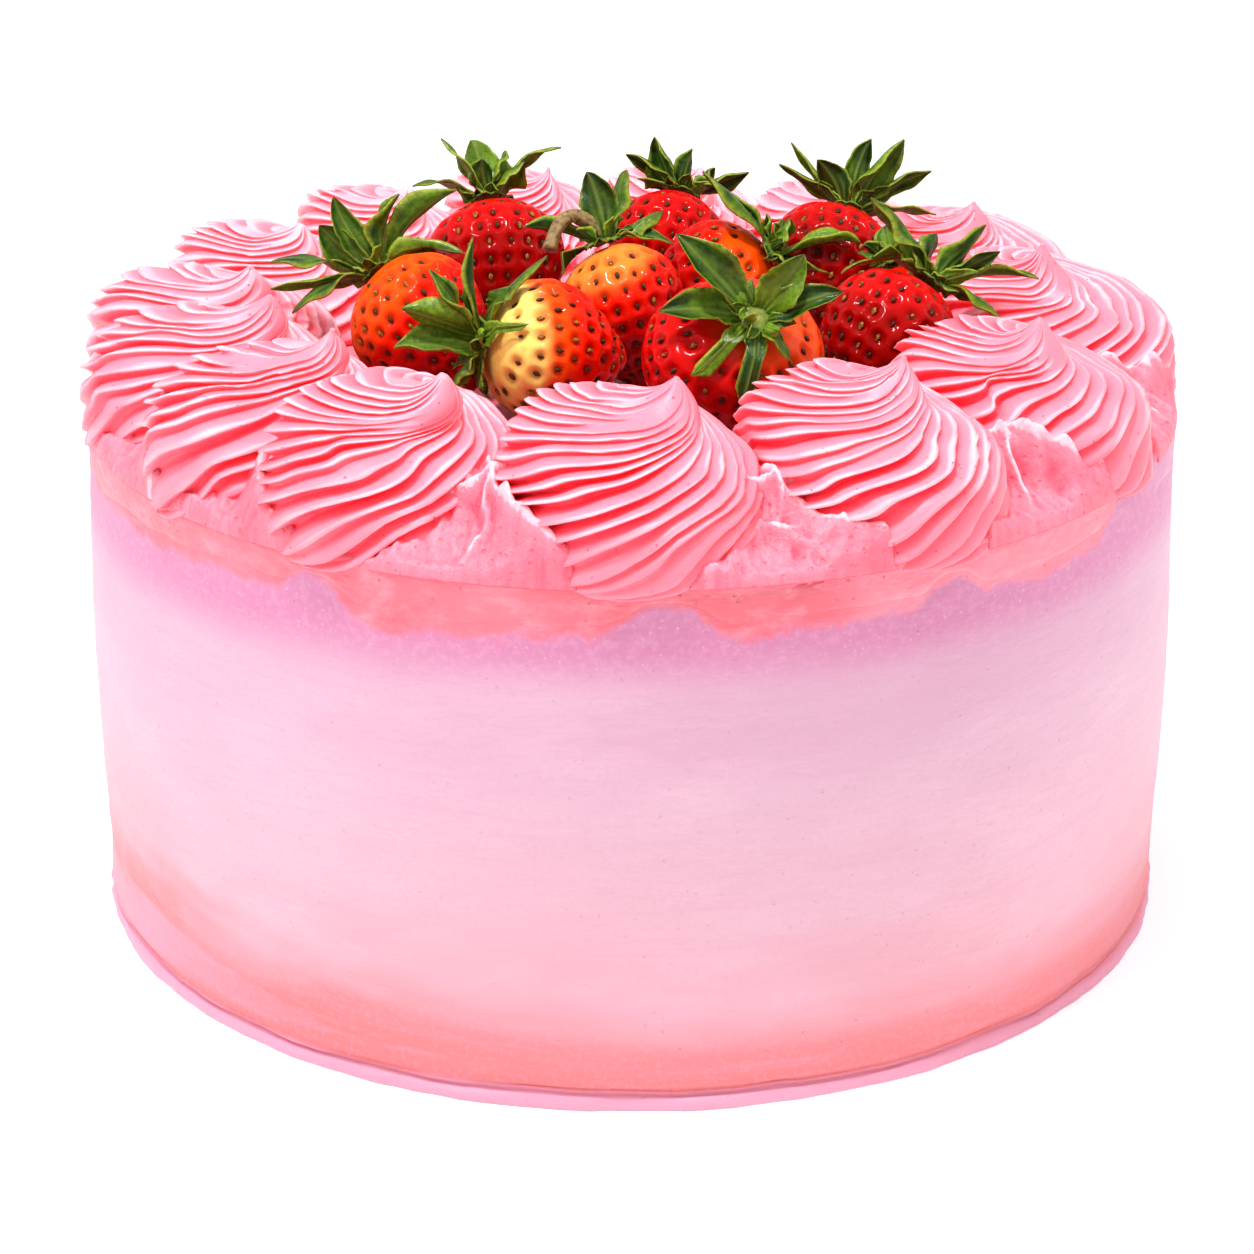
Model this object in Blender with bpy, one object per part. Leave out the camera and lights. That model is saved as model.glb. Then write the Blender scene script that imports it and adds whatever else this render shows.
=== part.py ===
"""A round iced ice cream cake with a ring of piped swirls and a heap of whole strawberries.

Metres, +Z up. The origin is the centre of the flat underside. The front of the cake faces -Y.
"""

import math
import random

import bpy
from mathutils import Vector
from mathutils.bvhtree import BVHTree

# Driving dimensions of the cake.
WALL_RADIUS = 0.1080
WALL_BULGE = 0.0012
TOP_HEIGHT = 0.1040
TOP_EDGE_ROUNDING = 0.0016
FOOT_BEAD_RADIUS = 0.1092
FOOT_BEAD_HEIGHT = 0.0042
FOOT_CREASE_DEPTH = 0.0016
ROUND_SEGMENTS = 64
GAP = 0.0003

# The pink layer on top ends on the wall in a wandering line.
TOP_LAYER_DEPTH = 0.0105
LINE_WAVES = ((3, 0.0010, 0.4), (7, 0.0008, 2.1), (11, 0.0005, 4.0))
LINE_NOTCHES = (
    (-172, 8, 0.0060), (-121, 5, 0.0045), (-86.5, 6.5, 0.0052), (-58, 4.5, 0.0040), (-30, 8, 0.0070),
    (35, 9, 0.0050), (100, 7, 0.0040), (140, 8, 0.0052),
)

# The ring of piped swirls.
SWIRL_RING_RADIUS = 0.0835
SWIRL_REACH = 0.0265
SWIRL_FLUTES = 18
SWIRL_TWIST = math.radians(118)
FLUTE_DEPTH = 0.32
SWIRL_CLEARANCE = 0.0002
RIM_DROOP = 0.0034
BERRY_CLEARANCE = 0.0018
SHOULDER_LEAN = Vector((-0.0045, 0.0035))
SHOULDER_TILT = 0.0016

# (share of the swirl's reach, share of its height), from the foot to the tip.
SWIRL_PROFILE = (
    (0.91, 0.0), (1.0, 0.12), (0.99, 0.40), (0.88, 0.67), (0.62, 0.85), (0.30, 0.89), (0.05, 1.0),
)

# (angle round the cake in degrees, half width, height, where the tip lies from the middle: x and y)
SWIRLS = (
    (-121, 0.0235, 0.0250, 0.0100, -0.0040),
    (-90, 0.0262, 0.0250, 0.0085, 0.0060),
    (-59, 0.0250, 0.0250, 0.0065, 0.0060),
    (-29, 0.0245, 0.0250, 0.0035, -0.0015),
    (4, 0.0245, 0.0250, -0.0010, 0.0020),
    (34, 0.0215, 0.0230, 0.0030, 0.0000),
    (58, 0.0195, 0.0215, 0.0030, -0.0020),
    (82, 0.0195, 0.0215, 0.0040, -0.0020),
    (105, 0.0195, 0.0220, 0.0040, -0.0020),
    (128, 0.0195, 0.0220, 0.0040, -0.0030),
    (151, 0.0195, 0.0210, 0.0050, -0.0030),
    (175, 0.0190, 0.0215, 0.0080, -0.0020),
    (-163, 0.0190, 0.0230, 0.0110, 0.0040),
    (-142, 0.0195, 0.0240, 0.0110, 0.0060),
)

# Icing squeezed up between the swirls at the rim: (angle in degrees, distance from the middle, height).
PEAKS = ((-105.5, 0.1010, 0.0050), (-75, 0.1020, 0.0036), (-44.5, 0.1020, 0.0040), (-131.5, 0.1030, 0.0034))
PEAK_RADIUS = 0.0085

# The strawberries.
BERRY_SIDES = 14
BERRY_RINGS = 8
CALYX_HUB_RADIUS = 0.0036
CALYX_LIFT = 0.0007
LEAF_THICKNESS = 0.0006
LEAF_CLEARANCE = 0.0010
LEAF_FOLD = 0.16
LEAF_STATIONS = (0.38, 0.72)
LEAF_ROOM = 0.42

# Each berry: centre (x, y, height above the top), width, length, share of the width left across the
# flattened way, direction from the leaves to the tip, and its leaves as (x, y, z of the leaf's tip
# from the hub, width). All lengths are in millimetres.
BERRIES = (
    ("01", (-27.6, 32.0, 14.6), 29, 32, 1.0, (0.12, -0.62, -0.77), (
        (-9.9, 2, 12.4, 5), (-4, 4, 11.5, 7.5), (-1.5, -2, 9.2, 6), (3.5, 3, 9.6, 7), (7.4, -1, 8.2, 6),
        (15, 2, 10.5, 4.5), (-16, 1, 2.5, 5), (3, 10, 3, 7))),
    ("02", (-40.4, -9.6, 14.4), 28, 32, 1.0, (0.60, -0.56, -0.56), (
        (-8.8, 4, 14.7, 6), (-11.8, 3, 9, 7), (4.3, 3, 15.3, 6.5), (15.5, 5, 15.6, 7), (-21.8, 4, 1, 6.5),
        (-21.5, 0, -3.2, 4), (-17, -4, -7, 6), (17, -3, 5, 5))),
    ("03", (-15.2, -24.2, 14.4), 28, 30, 1.0, (0.92, 0.32, -0.21), (
        (-1.3, 2, 20.5, 5), (-9.7, 1, 14.5, 7), (-15, -1, 7.4, 7), (-16.5, -2, -0.2, 7.5),
        (12.7, 3, 16.5, 4.5), (8.6, -6, 5, 5), (1.5, -4, -9.5, 5), (-5.8, -3, -8.5, 4.5))),
    ("04", (-1.2, -1.2, 15), 26, 30, 1.0, (0.28, -0.33, -0.90), (
        (-3.5, 3, 13.6, 8), (-16, 1, 3, 5), (-8.5, -7, -4.5, 5.5), (4.5, 5, 13.5, 6), (11.6, 3, 5.6, 6),
        (13.7, -3, 0.5, 4.5))),
    ("05", (7.4, 44.0, 14.2), 26, 29, 1.0, (-0.22, -0.62, -0.75), (
        (-11.6, 1, 8.2, 4.5), (-5.6, 2, 11.7, 6), (2.4, 0, 9.7, 4.5), (7.3, 6, 4, 5), (14.4, 0, 4.6, 5),
        (-10, -3, 0.8, 3.5))),
    ("06", (16.2, 20.0, 15.4), 24, 29, 1.0, (-0.86, 0.09, -0.49), (
        (-14, -1, 16.5, 6.5), (-8, 4, 10.6, 4), (3.6, 1, 6.2, 6), (18, 0, 1.5, 5), (11.7, -3, -4.2, 6),
        (-3.5, -7, -1, 4))),
    ("07", (40.8, 30.8, 14.5), 28, 31, 1.0, (-0.31, -0.70, -0.64), (
        (-12.2, 3, 13.8, 4), (-14.8, 0, 10, 4), (-7, -1, 11.2, 7), (4.4, 3, 14.6, 6), (11.2, 3, 14.5, 7),
        (17, 2, 8, 6), (18, -1, -0.5, 6))),
    ("08", (18.4, -36.2, 16.2), 37, 32, 0.85, (-0.30, 0.60, -0.74), (
        (-14.8, 2, 15.6, 9), (-18, -3, 2.2, 9), (8.9, 1, 12, 9), (16, -1, 5.4, 7), (6.5, -4, -7.2, 6),
        (-8.5, -4, -7, 7), (-2.5, -5, -13, 6))),
    ("09", (48.8, -17.4, 14.5), 28, 31, 1.0, (-0.59, -0.46, -0.66), (
        (-11.5, 0, 16.6, 8), (11.3, 3, 10.5, 6.5), (14, 0, 6, 5), (-16, -5, 2, 6.5), (9.5, -4, 3, 4),
        (21.7, 0, 0.4, 5), (14.4, -4, -7, 5.5), (2, 6, 8, 6))),
    ("10", (56.0, 9.0, 11), 18, 23, 1.0, (0.25, -0.45, -0.85), (
        (-1.5, 7, 6, 5), (7.5, 3, 5, 5), (-6.5, 0, 4, 4.5), (4, -6.5, 1.5, 4))),
)

# The stub of stalk left on one berry: which berry, its tip from the hub in millimetres, and its radii.
STALK_BERRY = "04"
STALK_TIP = (-10.5, -6.5, -0.5)
STALK_ARCH = 5
STALK_RADII = (0.0016, 0.0012)
STALK_SIDES = 8
STALK_STEPS = 4

MM = 0.001

# Plain finishes: colour, roughness.
ICING_WALL = ("icing_wall", (0.87, 0.58, 0.72), 0.5)
ICING_TOP = ("icing_top", (0.90, 0.40, 0.48), 0.45)
ICING_PIPED = ("icing_piped", (0.92, 0.42, 0.52), 0.45)
BERRY_SKIN = ("berry_skin", (0.70, 0.03, 0.02), 0.25)
LEAF_GREEN = ("leaf_green", (0.10, 0.24, 0.04), 0.5)
STALK_BROWN = ("stalk_brown", (0.35, 0.22, 0.09), 0.6)


def clear_scene():
    for obj in list(bpy.data.objects):
        bpy.data.objects.remove(obj)


def material(finish):
    name, colour, roughness = finish
    found = bpy.data.materials.get(name)
    if found:
        return found
    made = bpy.data.materials.new(name)
    made.use_nodes = True
    shader = made.node_tree.nodes["Principled BSDF"]
    shader.inputs["Base Color"].default_value = (*colour, 1)
    shader.inputs["Roughness"].default_value = roughness
    made.diffuse_color = (*colour, 1)
    return made


def add_object(name, points, faces, finish, smooth_angle=35):
    mesh = bpy.data.meshes.new(name)
    mesh.from_pydata([tuple(p) for p in points], [], faces)
    mesh.validate()
    mesh.materials.append(material(finish))
    mesh.shade_smooth()
    mesh.set_sharp_from_angle(angle=math.radians(smooth_angle))
    obj = bpy.data.objects.new(name, mesh)
    bpy.context.scene.collection.objects.link(obj)
    return obj


def strip_faces(lower, upper):
    """Quads between two equal closed rings of point indices, facing out if the rings run anticlockwise."""
    count = len(lower)
    return [(lower[i], lower[(i + 1) % count], upper[(i + 1) % count], upper[i]) for i in range(count)]


def split_quad(points, quad, cut):
    """The quad cut along its lower or higher diagonal, so that two facing surfaces are cut alike."""
    a, b, c, d = quad
    first_is_low = points[a].z + points[c].z < points[b].z + points[d].z
    if first_is_low == (cut == "low"):
        return [(a, b, c), (a, c, d)]
    return [(b, c, d), (b, d, a)]


def rings_to_solid(rings, low_centre, high_centre, cut=None):
    """A closed solid from stacked rings of points, capped by a fan to one point at each end."""
    points = [p for ring in rings for p in ring]
    count = len(rings[0])
    index = [list(range(k * count, (k + 1) * count)) for k in range(len(rings))]
    faces = []
    for lower, upper in zip(index, index[1:]):
        faces += strip_faces(lower, upper)
    if cut:
        faces = [triangle for quad in faces for triangle in split_quad(points, quad, cut)]
    low, high = len(points), len(points) + 1
    points += [low_centre, high_centre]
    faces += [(index[0][(i + 1) % count], index[0][i], low) for i in range(count)]
    faces += [(index[-1][i], index[-1][(i + 1) % count], high) for i in range(count)]
    return points, faces


def smooth_step(x):
    x = min(max(x, 0.0), 1.0)
    return x * x * (3 - 2 * x)


def angle_between(a, b):
    """The smaller angle between two directions in degrees."""
    return abs((a - b + 180) % 360 - 180)


def curve_through(values, t):
    """A smooth value at t, from 0 to 1, through evenly spaced points of any size."""
    last = len(values) - 1
    x = min(max(t, 0.0), 1.0) * last
    i = min(int(x), last - 1)
    f = x - i
    before, here, there, after = (values[min(max(i + k, 0), last)] for k in (-1, 0, 1, 2))
    smooth = []
    for a, b, c, d in zip(before, here, there, after):
        slope, bend, turn = c - a, 2 * a - 5 * b + 4 * c - d, 3 * b - a - 3 * c + d
        smooth.append(0.5 * (2 * b + slope * f + bend * f ** 2 + turn * f ** 3))
    return smooth


# The iced wall and the pink layer on top.


def layer_line(degrees):
    """How far under the top the pink layer ends on the wall."""
    angle = math.radians(degrees)
    depth = TOP_LAYER_DEPTH + sum(size * math.sin(n * angle + phase) for n, size, phase in LINE_WAVES)
    for at, half_width, rise in LINE_NOTCHES:
        depth -= rise * smooth_step(1 - angle_between(degrees, at) / half_width)
    return depth


def wall_radius(height):
    """The wall bows out a little between its foot and the top edge."""
    return WALL_RADIUS + WALL_BULGE * math.sin(math.pi * min(height / TOP_HEIGHT, 1.0))


def ring_at(radius, height):
    """A ring whose radius and height may be numbers or functions of the angle in degrees."""
    points = []
    for k in range(ROUND_SEGMENTS):
        degrees = 360 * k / ROUND_SEGMENTS
        r = radius(degrees) if callable(radius) else radius
        z = height(degrees) if callable(height) else height
        angle = math.radians(degrees)
        points.append(Vector((r * math.cos(angle), r * math.sin(angle), z)))
    return points


def make_body():
    crease = WALL_RADIUS - FOOT_CREASE_DEPTH
    steady = TOP_HEIGHT - TOP_LAYER_DEPTH - GAP / 2
    edge = lambda degrees: TOP_HEIGHT - layer_line(degrees) - GAP / 2
    rings = [
        ring_at(FOOT_BEAD_RADIUS - 0.0006, 0.0),
        ring_at(FOOT_BEAD_RADIUS, 0.35 * FOOT_BEAD_HEIGHT),
        ring_at(FOOT_BEAD_RADIUS - 0.0006, 0.75 * FOOT_BEAD_HEIGHT),
        ring_at(crease, FOOT_BEAD_HEIGHT),
        ring_at(WALL_RADIUS, 0.010),
        ring_at(wall_radius(0.04), 0.04),
        ring_at(wall_radius(0.075), 0.075),
        ring_at(lambda d: wall_radius(edge(d)), edge),
        ring_at(0.9 * WALL_RADIUS, steady),
    ]
    points, faces = rings_to_solid(rings, Vector((0, 0, 0)), Vector((0, 0, steady)), cut="low")
    return add_object("cake_body", points, faces, ICING_WALL)


def peak_height(degrees, radius, swirls):
    """Height of the squeezed-up icing at a point of the top, kept off the swirls' feet."""
    angle = math.radians(degrees)
    here = Vector((radius * math.cos(angle), radius * math.sin(angle)))
    height = 0.0
    for at, reach, rise in PEAKS:
        top = Vector((reach * math.cos(math.radians(at)), reach * math.sin(math.radians(at))))
        height = max(height, rise * (1 - (here - top).length / PEAK_RADIUS))
    room = min(swirl.room_at(here) for swirl in swirls)
    return max(0.0, min(height, 0.7 * (room - 0.0012)))


def make_top_layer(swirls):
    steady = TOP_HEIGHT - TOP_LAYER_DEPTH + GAP / 2
    edge = lambda degrees: TOP_HEIGHT - layer_line(degrees) + GAP / 2
    relief = lambda radius: lambda degrees: TOP_HEIGHT + peak_height(degrees, radius, swirls)
    shoulder = TOP_HEIGHT - TOP_EDGE_ROUNDING
    rings = [
        ring_at(0.9 * WALL_RADIUS, steady),
        ring_at(lambda d: wall_radius(edge(d)), edge),
        ring_at(wall_radius(shoulder), shoulder),
        ring_at(WALL_RADIUS - 0.3 * TOP_EDGE_ROUNDING, TOP_HEIGHT - 0.3 * TOP_EDGE_ROUNDING),
        ring_at(WALL_RADIUS - TOP_EDGE_ROUNDING, TOP_HEIGHT),
        ring_at(0.1035, relief(0.1035)),
        ring_at(0.1000, relief(0.1000)),
        ring_at(0.0950, TOP_HEIGHT),
    ]
    points, faces = rings_to_solid(rings, Vector((0, 0, steady)), Vector((0, 0, TOP_HEIGHT)), cut="low")
    return add_object("top_layer", points, faces, ICING_TOP)


# The strawberries' shape, which the swirls and leaves keep clear of.


class Berry:
    def __init__(self, name, centre, width, length, flatness, direction, leaves):
        self.name = name
        self.radius = width * MM / 2
        self.length = length * MM
        self.axis = Vector(direction).normalized()
        self.centre = Vector((centre[0] * MM, centre[1] * MM, TOP_HEIGHT + centre[2] * MM))
        self.crown = self.centre - self.axis * self.length * 0.46
        self.leaves = leaves
        self.flatness = flatness
        self.side = self.axis.cross(Vector((0, 0, 1))).normalized()
        self.other = self.axis.cross(self.side)

    def radius_at(self, share):
        """The radius at a share of the length, from the leaves to the tip."""
        if not 0 < share < 1:
            return 0.0
        return self.radius * math.sin(math.pi * share ** 0.72) ** 0.66

    def point(self, share, angle):
        spread = self.side * math.cos(angle) + self.other * math.sin(angle) * self.flatness
        return self.crown + self.axis * self.length * share + spread * self.radius_at(share)

    def across(self, point):
        """A point's distance along the axis, its offset from it, and how narrow the berry is that way."""
        along = (point - self.crown).dot(self.axis)
        out = (point - self.crown) - self.axis * along
        stretch = math.hypot(out.dot(self.side), out.dot(self.other) / self.flatness)
        return along, out, out.length / stretch if stretch > 0 else 1.0

    def inside(self, point, clearance):
        """How deep a point lies inside the berry grown by a clearance, or a negative number."""
        along, out, narrow = self.across(point)
        share = along / self.length
        margin = clearance / self.length
        if not -margin < share < 1 + margin:
            return -1.0
        near = max(self.radius_at(s) for s in (share - margin, share, share + margin))
        return near * narrow + clearance - out.length

    def push_out(self, point, clearance):
        """The point moved straight out of the berry if it lies inside."""
        depth = self.inside(point, clearance)
        if depth <= 0:
            return point
        along, out, _ = self.across(point)
        if along < 0.1 * self.length:
            return point - self.axis * (along + clearance)
        return point + out.normalized() * depth


def make_berry(berry):
    rings = []
    for k in range(BERRY_RINGS):
        share = 0.02 + 0.955 * (k / (BERRY_RINGS - 1)) ** 1.15
        rings.append([berry.point(share, 2 * math.pi * i / BERRY_SIDES) for i in range(BERRY_SIDES)])
    points, faces = rings_to_solid(rings, berry.crown, berry.crown + berry.axis * berry.length)
    return add_object("strawberry_" + berry.name, points, faces, BERRY_SKIN, smooth_angle=80)


# The piped swirls.


class Swirl:
    def __init__(self, number, row, before, after):
        degrees, self.half_width, self.height, tip_x, tip_y = row
        angle = math.radians(degrees)
        self.number = number
        self.outward = Vector((math.cos(angle), math.sin(angle)))
        self.along = Vector((-self.outward.y, self.outward.x))
        self.foot = self.outward * SWIRL_RING_RADIUS
        self.tip = Vector((tip_x, tip_y))
        self.limits = []
        for neighbour, turn in ((before, 1), (after, -1)):
            gap = (neighbour - degrees + 180) % 360 - 180
            middle = math.radians(degrees + gap / 2)
            self.limits.append(Vector((-math.sin(middle), math.cos(middle))) * turn)
        self.random = random.Random(number)
        self.turn = self.random.uniform(0, 2 * math.pi)
        self.uneven = [self.random.uniform(0.75, 1.15) for _ in range(SWIRL_FLUTES)]

    def room_at(self, place):
        """How far a point of the top lies outside the swirl's widest outline."""
        offset = place - self.foot
        x, y = offset.dot(self.along) / self.half_width, offset.dot(self.outward) / SWIRL_REACH
        size = math.hypot(x, y)
        return (size - 1.01) * offset.length / size if size > 0 else -SWIRL_REACH

    def point(self, share, angle, crest):
        """A point on the surface: share runs from foot to tip, crest is 1 on a ridge and 0 in a groove."""
        reach, rise = curve_through(SWIRL_PROFILE, share)
        reach = max(reach, 0.02)
        groove = FLUTE_DEPTH * 2 * math.pi / SWIRL_FLUTES * (1 - crest) * reach
        shoulder = math.exp(-(((reach - 0.6) / 0.35) ** 2))
        middle = self.foot + SHOULDER_LEAN * shoulder * smooth_step(rise * 1.3)
        middle += self.tip * smooth_step((0.62 - reach) / 0.6)
        spread = (reach - groove) * SWIRL_REACH * self.outward * math.cos(angle)
        spread += (reach - groove) * self.half_width * self.along * math.sin(angle)
        tilt = SHOULDER_TILT * shoulder * smooth_step(rise)
        tilt *= spread.normalized().dot(SHOULDER_LEAN.normalized())
        place = middle + spread
        drop = groove * self.height * 0.5 * smooth_step(rise)
        low = TOP_HEIGHT + GAP + rise * self.height + tilt - drop
        if share > 0:
            over_rim = smooth_step((place.length - WALL_RADIUS - 0.0004) / 0.0014)
            low -= over_rim * (RIM_DROOP + 0.12 * self.height) * (1 - smooth_step((rise - 0.1) / 0.5))
        return Vector((place.x, place.y, low))

    def keep_clear(self, point, berries):
        """Holds a point on its own side of the neighbouring swirls and off the berries."""
        for limit in self.limits:
            over = SWIRL_CLEARANCE - Vector((point.x, point.y)).dot(limit)
            if over > 0:
                point = point + Vector((limit.x, limit.y, 0)) * over
        inward = Vector((self.foot.x - point.x, self.foot.y - point.y, 0))
        step = inward.normalized() * 0.0004
        for _ in range(60):
            if all(berry.inside(point, BERRY_CLEARANCE) < 0 for berry in berries):
                break
            point = point + step
        return point


def make_swirl(swirl, berries):
    steps = len(SWIRL_PROFILE) - 1
    rings = []
    for k in range(steps + 1):
        share = k / steps
        ring = []
        for i in range(2 * SWIRL_FLUTES):
            angle = swirl.turn + math.pi * i / SWIRL_FLUTES + SWIRL_TWIST * max(0.0, share - 1 / steps)
            crest = 1.0 if i % 2 == 0 else 1.0 - swirl.uneven[i // 2]
            if k == steps:
                crest = 1.0
            ring.append(swirl.keep_clear(swirl.point(share, angle, crest), berries))
        rings.append(ring)
    low = Vector((swirl.foot.x, swirl.foot.y, TOP_HEIGHT + GAP))
    high = sum(rings[-1], Vector()) / len(rings[-1]) + Vector((0, 0, 0.0008))
    points, faces = rings_to_solid(rings, low, high, cut="high")
    return add_object(f"swirl_{swirl.number:02d}", points, faces, ICING_PIPED, smooth_angle=25)


# The green caps of leaves.


class Obstacles:
    """What a leaf must lie clear of: the berries, and whatever piped icing it passes over."""

    def __init__(self, berries, icing):
        self.berries = berries
        self.trees = []
        for obj in icing:
            points = [vertex.co for vertex in obj.data.vertices]
            faces = [tuple(polygon.vertices) for polygon in obj.data.polygons]
            self.trees.append(BVHTree.FromPolygons(points, faces))

    def clear(self, point):
        for _ in range(3):
            for berry in self.berries:
                point = berry.push_out(point, LEAF_CLEARANCE)
        for tree in self.trees:
            hit = tree.ray_cast(Vector((point.x, point.y, 1.0)), Vector((0, 0, -1)))[0]
            if hit and point.z < hit.z + 1.6 * LEAF_CLEARANCE:
                point = Vector((point.x, point.y, hit.z + 1.6 * LEAF_CLEARANCE))
        return point


def leaf_curve(start, tip, up, s):
    """A curve that leaves its start low, rises and bends over to its tip."""
    bend = start + (tip - start) * 0.45 + up * 0.18 * (tip - start).length
    return start * (1 - s) ** 2 + bend * 2 * s * (1 - s) + tip * s ** 2


class Leaf:
    """One leaf of a cap: where it starts on the hub's rim, its tip and the way it spreads."""

    def __init__(self, berry, hub, row):
        x, y, z, width = row
        reach = Vector((x, y, z)) * MM
        across, other = berry.side, berry.other
        self.angle = math.atan2(reach.dot(other), reach.dot(across))
        self.start = hub + (across * math.cos(self.angle) + other * math.sin(self.angle)) * CALYX_HUB_RADIUS
        self.side = across * math.sin(self.angle) - other * math.cos(self.angle)
        self.up = -berry.axis
        self.tip = hub + reach
        self.width = width * MM

    def middle(self, s):
        return leaf_curve(self.start, self.tip, self.up, s)

    def normal(self, s):
        return (self.middle(s + 0.05) - self.middle(s)).cross(self.side).normalized()

    def half_width(self, s, others):
        """Half the width, held back where another leaf is close."""
        half = self.width / 2 * math.sin(math.pi * s ** 0.75) ** 0.7
        here = self.middle(s)
        for leaf in others:
            near = min((leaf.middle(k / 8) - here).length for k in range(9))
            half = min(half, LEAF_ROOM * near)
        return half


def make_calyx(berry, obstacles):
    """One closed, star-shaped sheet: a hub, and a folded leaf from each stretch of its rim."""
    up = -berry.axis
    hub = berry.crown + up * CALYX_LIFT
    across, other = berry.side, berry.other
    leaves = sorted((Leaf(berry, hub, row) for row in berry.leaves), key=lambda leaf: leaf.angle)
    count = len(leaves)
    for leaf in leaves:
        leaf.tip = obstacles.clear(leaf.tip)
    top, bottom = [], []

    def add(point, normal):
        top.append(point + normal * LEAF_THICKNESS / 2)
        bottom.append(point - normal * LEAF_THICKNESS / 2)
        return len(top) - 1

    corners, middles = [], []
    for i, leaf in enumerate(leaves):
        ahead = leaves[(i + 1) % count].angle + (2 * math.pi if i == count - 1 else 0)
        between = (leaf.angle + ahead) / 2
        corner = hub + (across * math.cos(between) + other * math.sin(between)) * CALYX_HUB_RADIUS
        middles.append(add(leaf.start, up))
        corners.append(add(corner, up))
    centre = add(hub + up * 0.0006, up)

    faces, outline = [], []
    for i, leaf in enumerate(leaves):
        left, middle, right = corners[i - 1], middles[i], corners[i]
        faces += [(centre, left, middle), (centre, middle, right)]
        rows = [(left, middle, right)]
        others = leaves[:i] + leaves[i + 1:]
        for s in LEAF_STATIONS:
            here, normal = leaf.middle(s), leaf.normal(s)
            half = leaf.half_width(s, others)
            fold = normal * LEAF_FOLD * 2 * half
            places = (here + leaf.side * half + fold, here, here - leaf.side * half + fold)
            rows.append(tuple(add(obstacles.clear(place), normal) for place in places))
        tip_index = add(leaf.tip, normal)
        for near, far in zip(rows, rows[1:]):
            faces += [(near[0], far[0], far[1]), (near[0], far[1], near[1])]
            faces += [(near[1], far[1], far[2]), (near[1], far[2], near[2])]
        last = rows[-1]
        faces += [(last[0], tip_index, last[1]), (last[1], tip_index, last[2])]
        edge = [row[0] for row in rows] + [tip_index] + [row[2] for row in reversed(rows)]
        outline += list(zip(edge, edge[1:]))

    under = len(top)
    solid = [tuple(reversed(face)) for face in faces]
    solid += [tuple(i + under for i in face) for face in faces]
    for a, b in outline:
        solid += [(a, b, b + under), (a, b + under, a + under)]
    return add_object("calyx_" + berry.name, top + bottom, solid, LEAF_GREEN, smooth_angle=60)


def make_stalk(berry, obstacles):
    up = -berry.axis
    start = berry.crown + up * (CALYX_LIFT + 0.0006 + LEAF_THICKNESS / 2 + GAP)
    tip = start + Vector(STALK_TIP) * MM
    rings = []
    for k in range(STALK_STEPS + 1):
        s = k / STALK_STEPS
        here = leaf_curve(start, tip, up * STALK_ARCH, s)
        ahead = (leaf_curve(start, tip, up * STALK_ARCH, s + 0.05) - here).normalized()
        if k == 0:
            ahead = up
        side = berry.side.cross(ahead).normalized()
        other = ahead.cross(side)
        r = STALK_RADII[0] + (STALK_RADII[1] - STALK_RADII[0]) * s
        turns = [2 * math.pi * i / STALK_SIDES for i in range(STALK_SIDES)]
        rings.append([here + (side * math.cos(a) + other * math.sin(a)) * r for a in turns])
    points, faces = rings_to_solid(rings, start, sum(rings[-1], Vector()) / STALK_SIDES)
    return add_object("stalk_" + berry.name, points, faces, STALK_BROWN)


def main():
    clear_scene()
    berries = [Berry(*row) for row in BERRIES]
    angles = [row[0] for row in SWIRLS]
    swirls = [
        Swirl(i + 1, row, angles[i - 1], angles[(i + 1) % len(angles)]) for i, row in enumerate(SWIRLS)
    ]
    make_body()
    make_top_layer(swirls)
    piped = [make_swirl(swirl, berries) for swirl in swirls]
    for berry in berries:
        make_berry(berry)
    obstacles = Obstacles(berries, piped)
    for berry in berries:
        make_calyx(berry, obstacles)
        if berry.name == STALK_BERRY:
            make_stalk(berry, obstacles)


main()
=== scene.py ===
"""The looks of a round iced ice cream cake with piped swirls and whole strawberries, around its solids.

Metres, +Z up, in the frame of the solids: the origin is the centre of the flat underside, the front faces -Y.
"""

import itertools
import math
import random

import bpy
import numpy as np
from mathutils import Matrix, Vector
from mathutils.bvhtree import BVHTree


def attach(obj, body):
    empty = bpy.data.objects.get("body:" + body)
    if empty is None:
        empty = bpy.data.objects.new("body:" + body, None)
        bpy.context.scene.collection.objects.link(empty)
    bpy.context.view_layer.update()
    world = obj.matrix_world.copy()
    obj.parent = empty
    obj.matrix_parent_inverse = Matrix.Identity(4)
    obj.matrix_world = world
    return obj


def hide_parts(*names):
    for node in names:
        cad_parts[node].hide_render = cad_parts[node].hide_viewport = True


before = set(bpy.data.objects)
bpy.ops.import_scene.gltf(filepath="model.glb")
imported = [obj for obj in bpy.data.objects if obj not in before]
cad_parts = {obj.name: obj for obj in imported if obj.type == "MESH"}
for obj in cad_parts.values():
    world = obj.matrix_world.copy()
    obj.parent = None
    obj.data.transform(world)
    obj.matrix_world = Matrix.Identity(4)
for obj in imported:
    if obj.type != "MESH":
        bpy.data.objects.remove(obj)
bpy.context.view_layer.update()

MM = 0.001

# Driving dimensions of the wall, the same as the solids'.
WALL_RADIUS = 0.1080
WALL_BULGE = 0.0012
TOP_HEIGHT = 0.1040
TOP_EDGE_ROUNDING = 0.0016
FOOT_BEAD_RADIUS = 0.1092

# The bead round the foot and the crease over it are finer here than on the solid.
FOOT_BEAD_SHOWN = 0.0027
FOOT_CREASE_SHOWN = 0.0007

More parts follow.
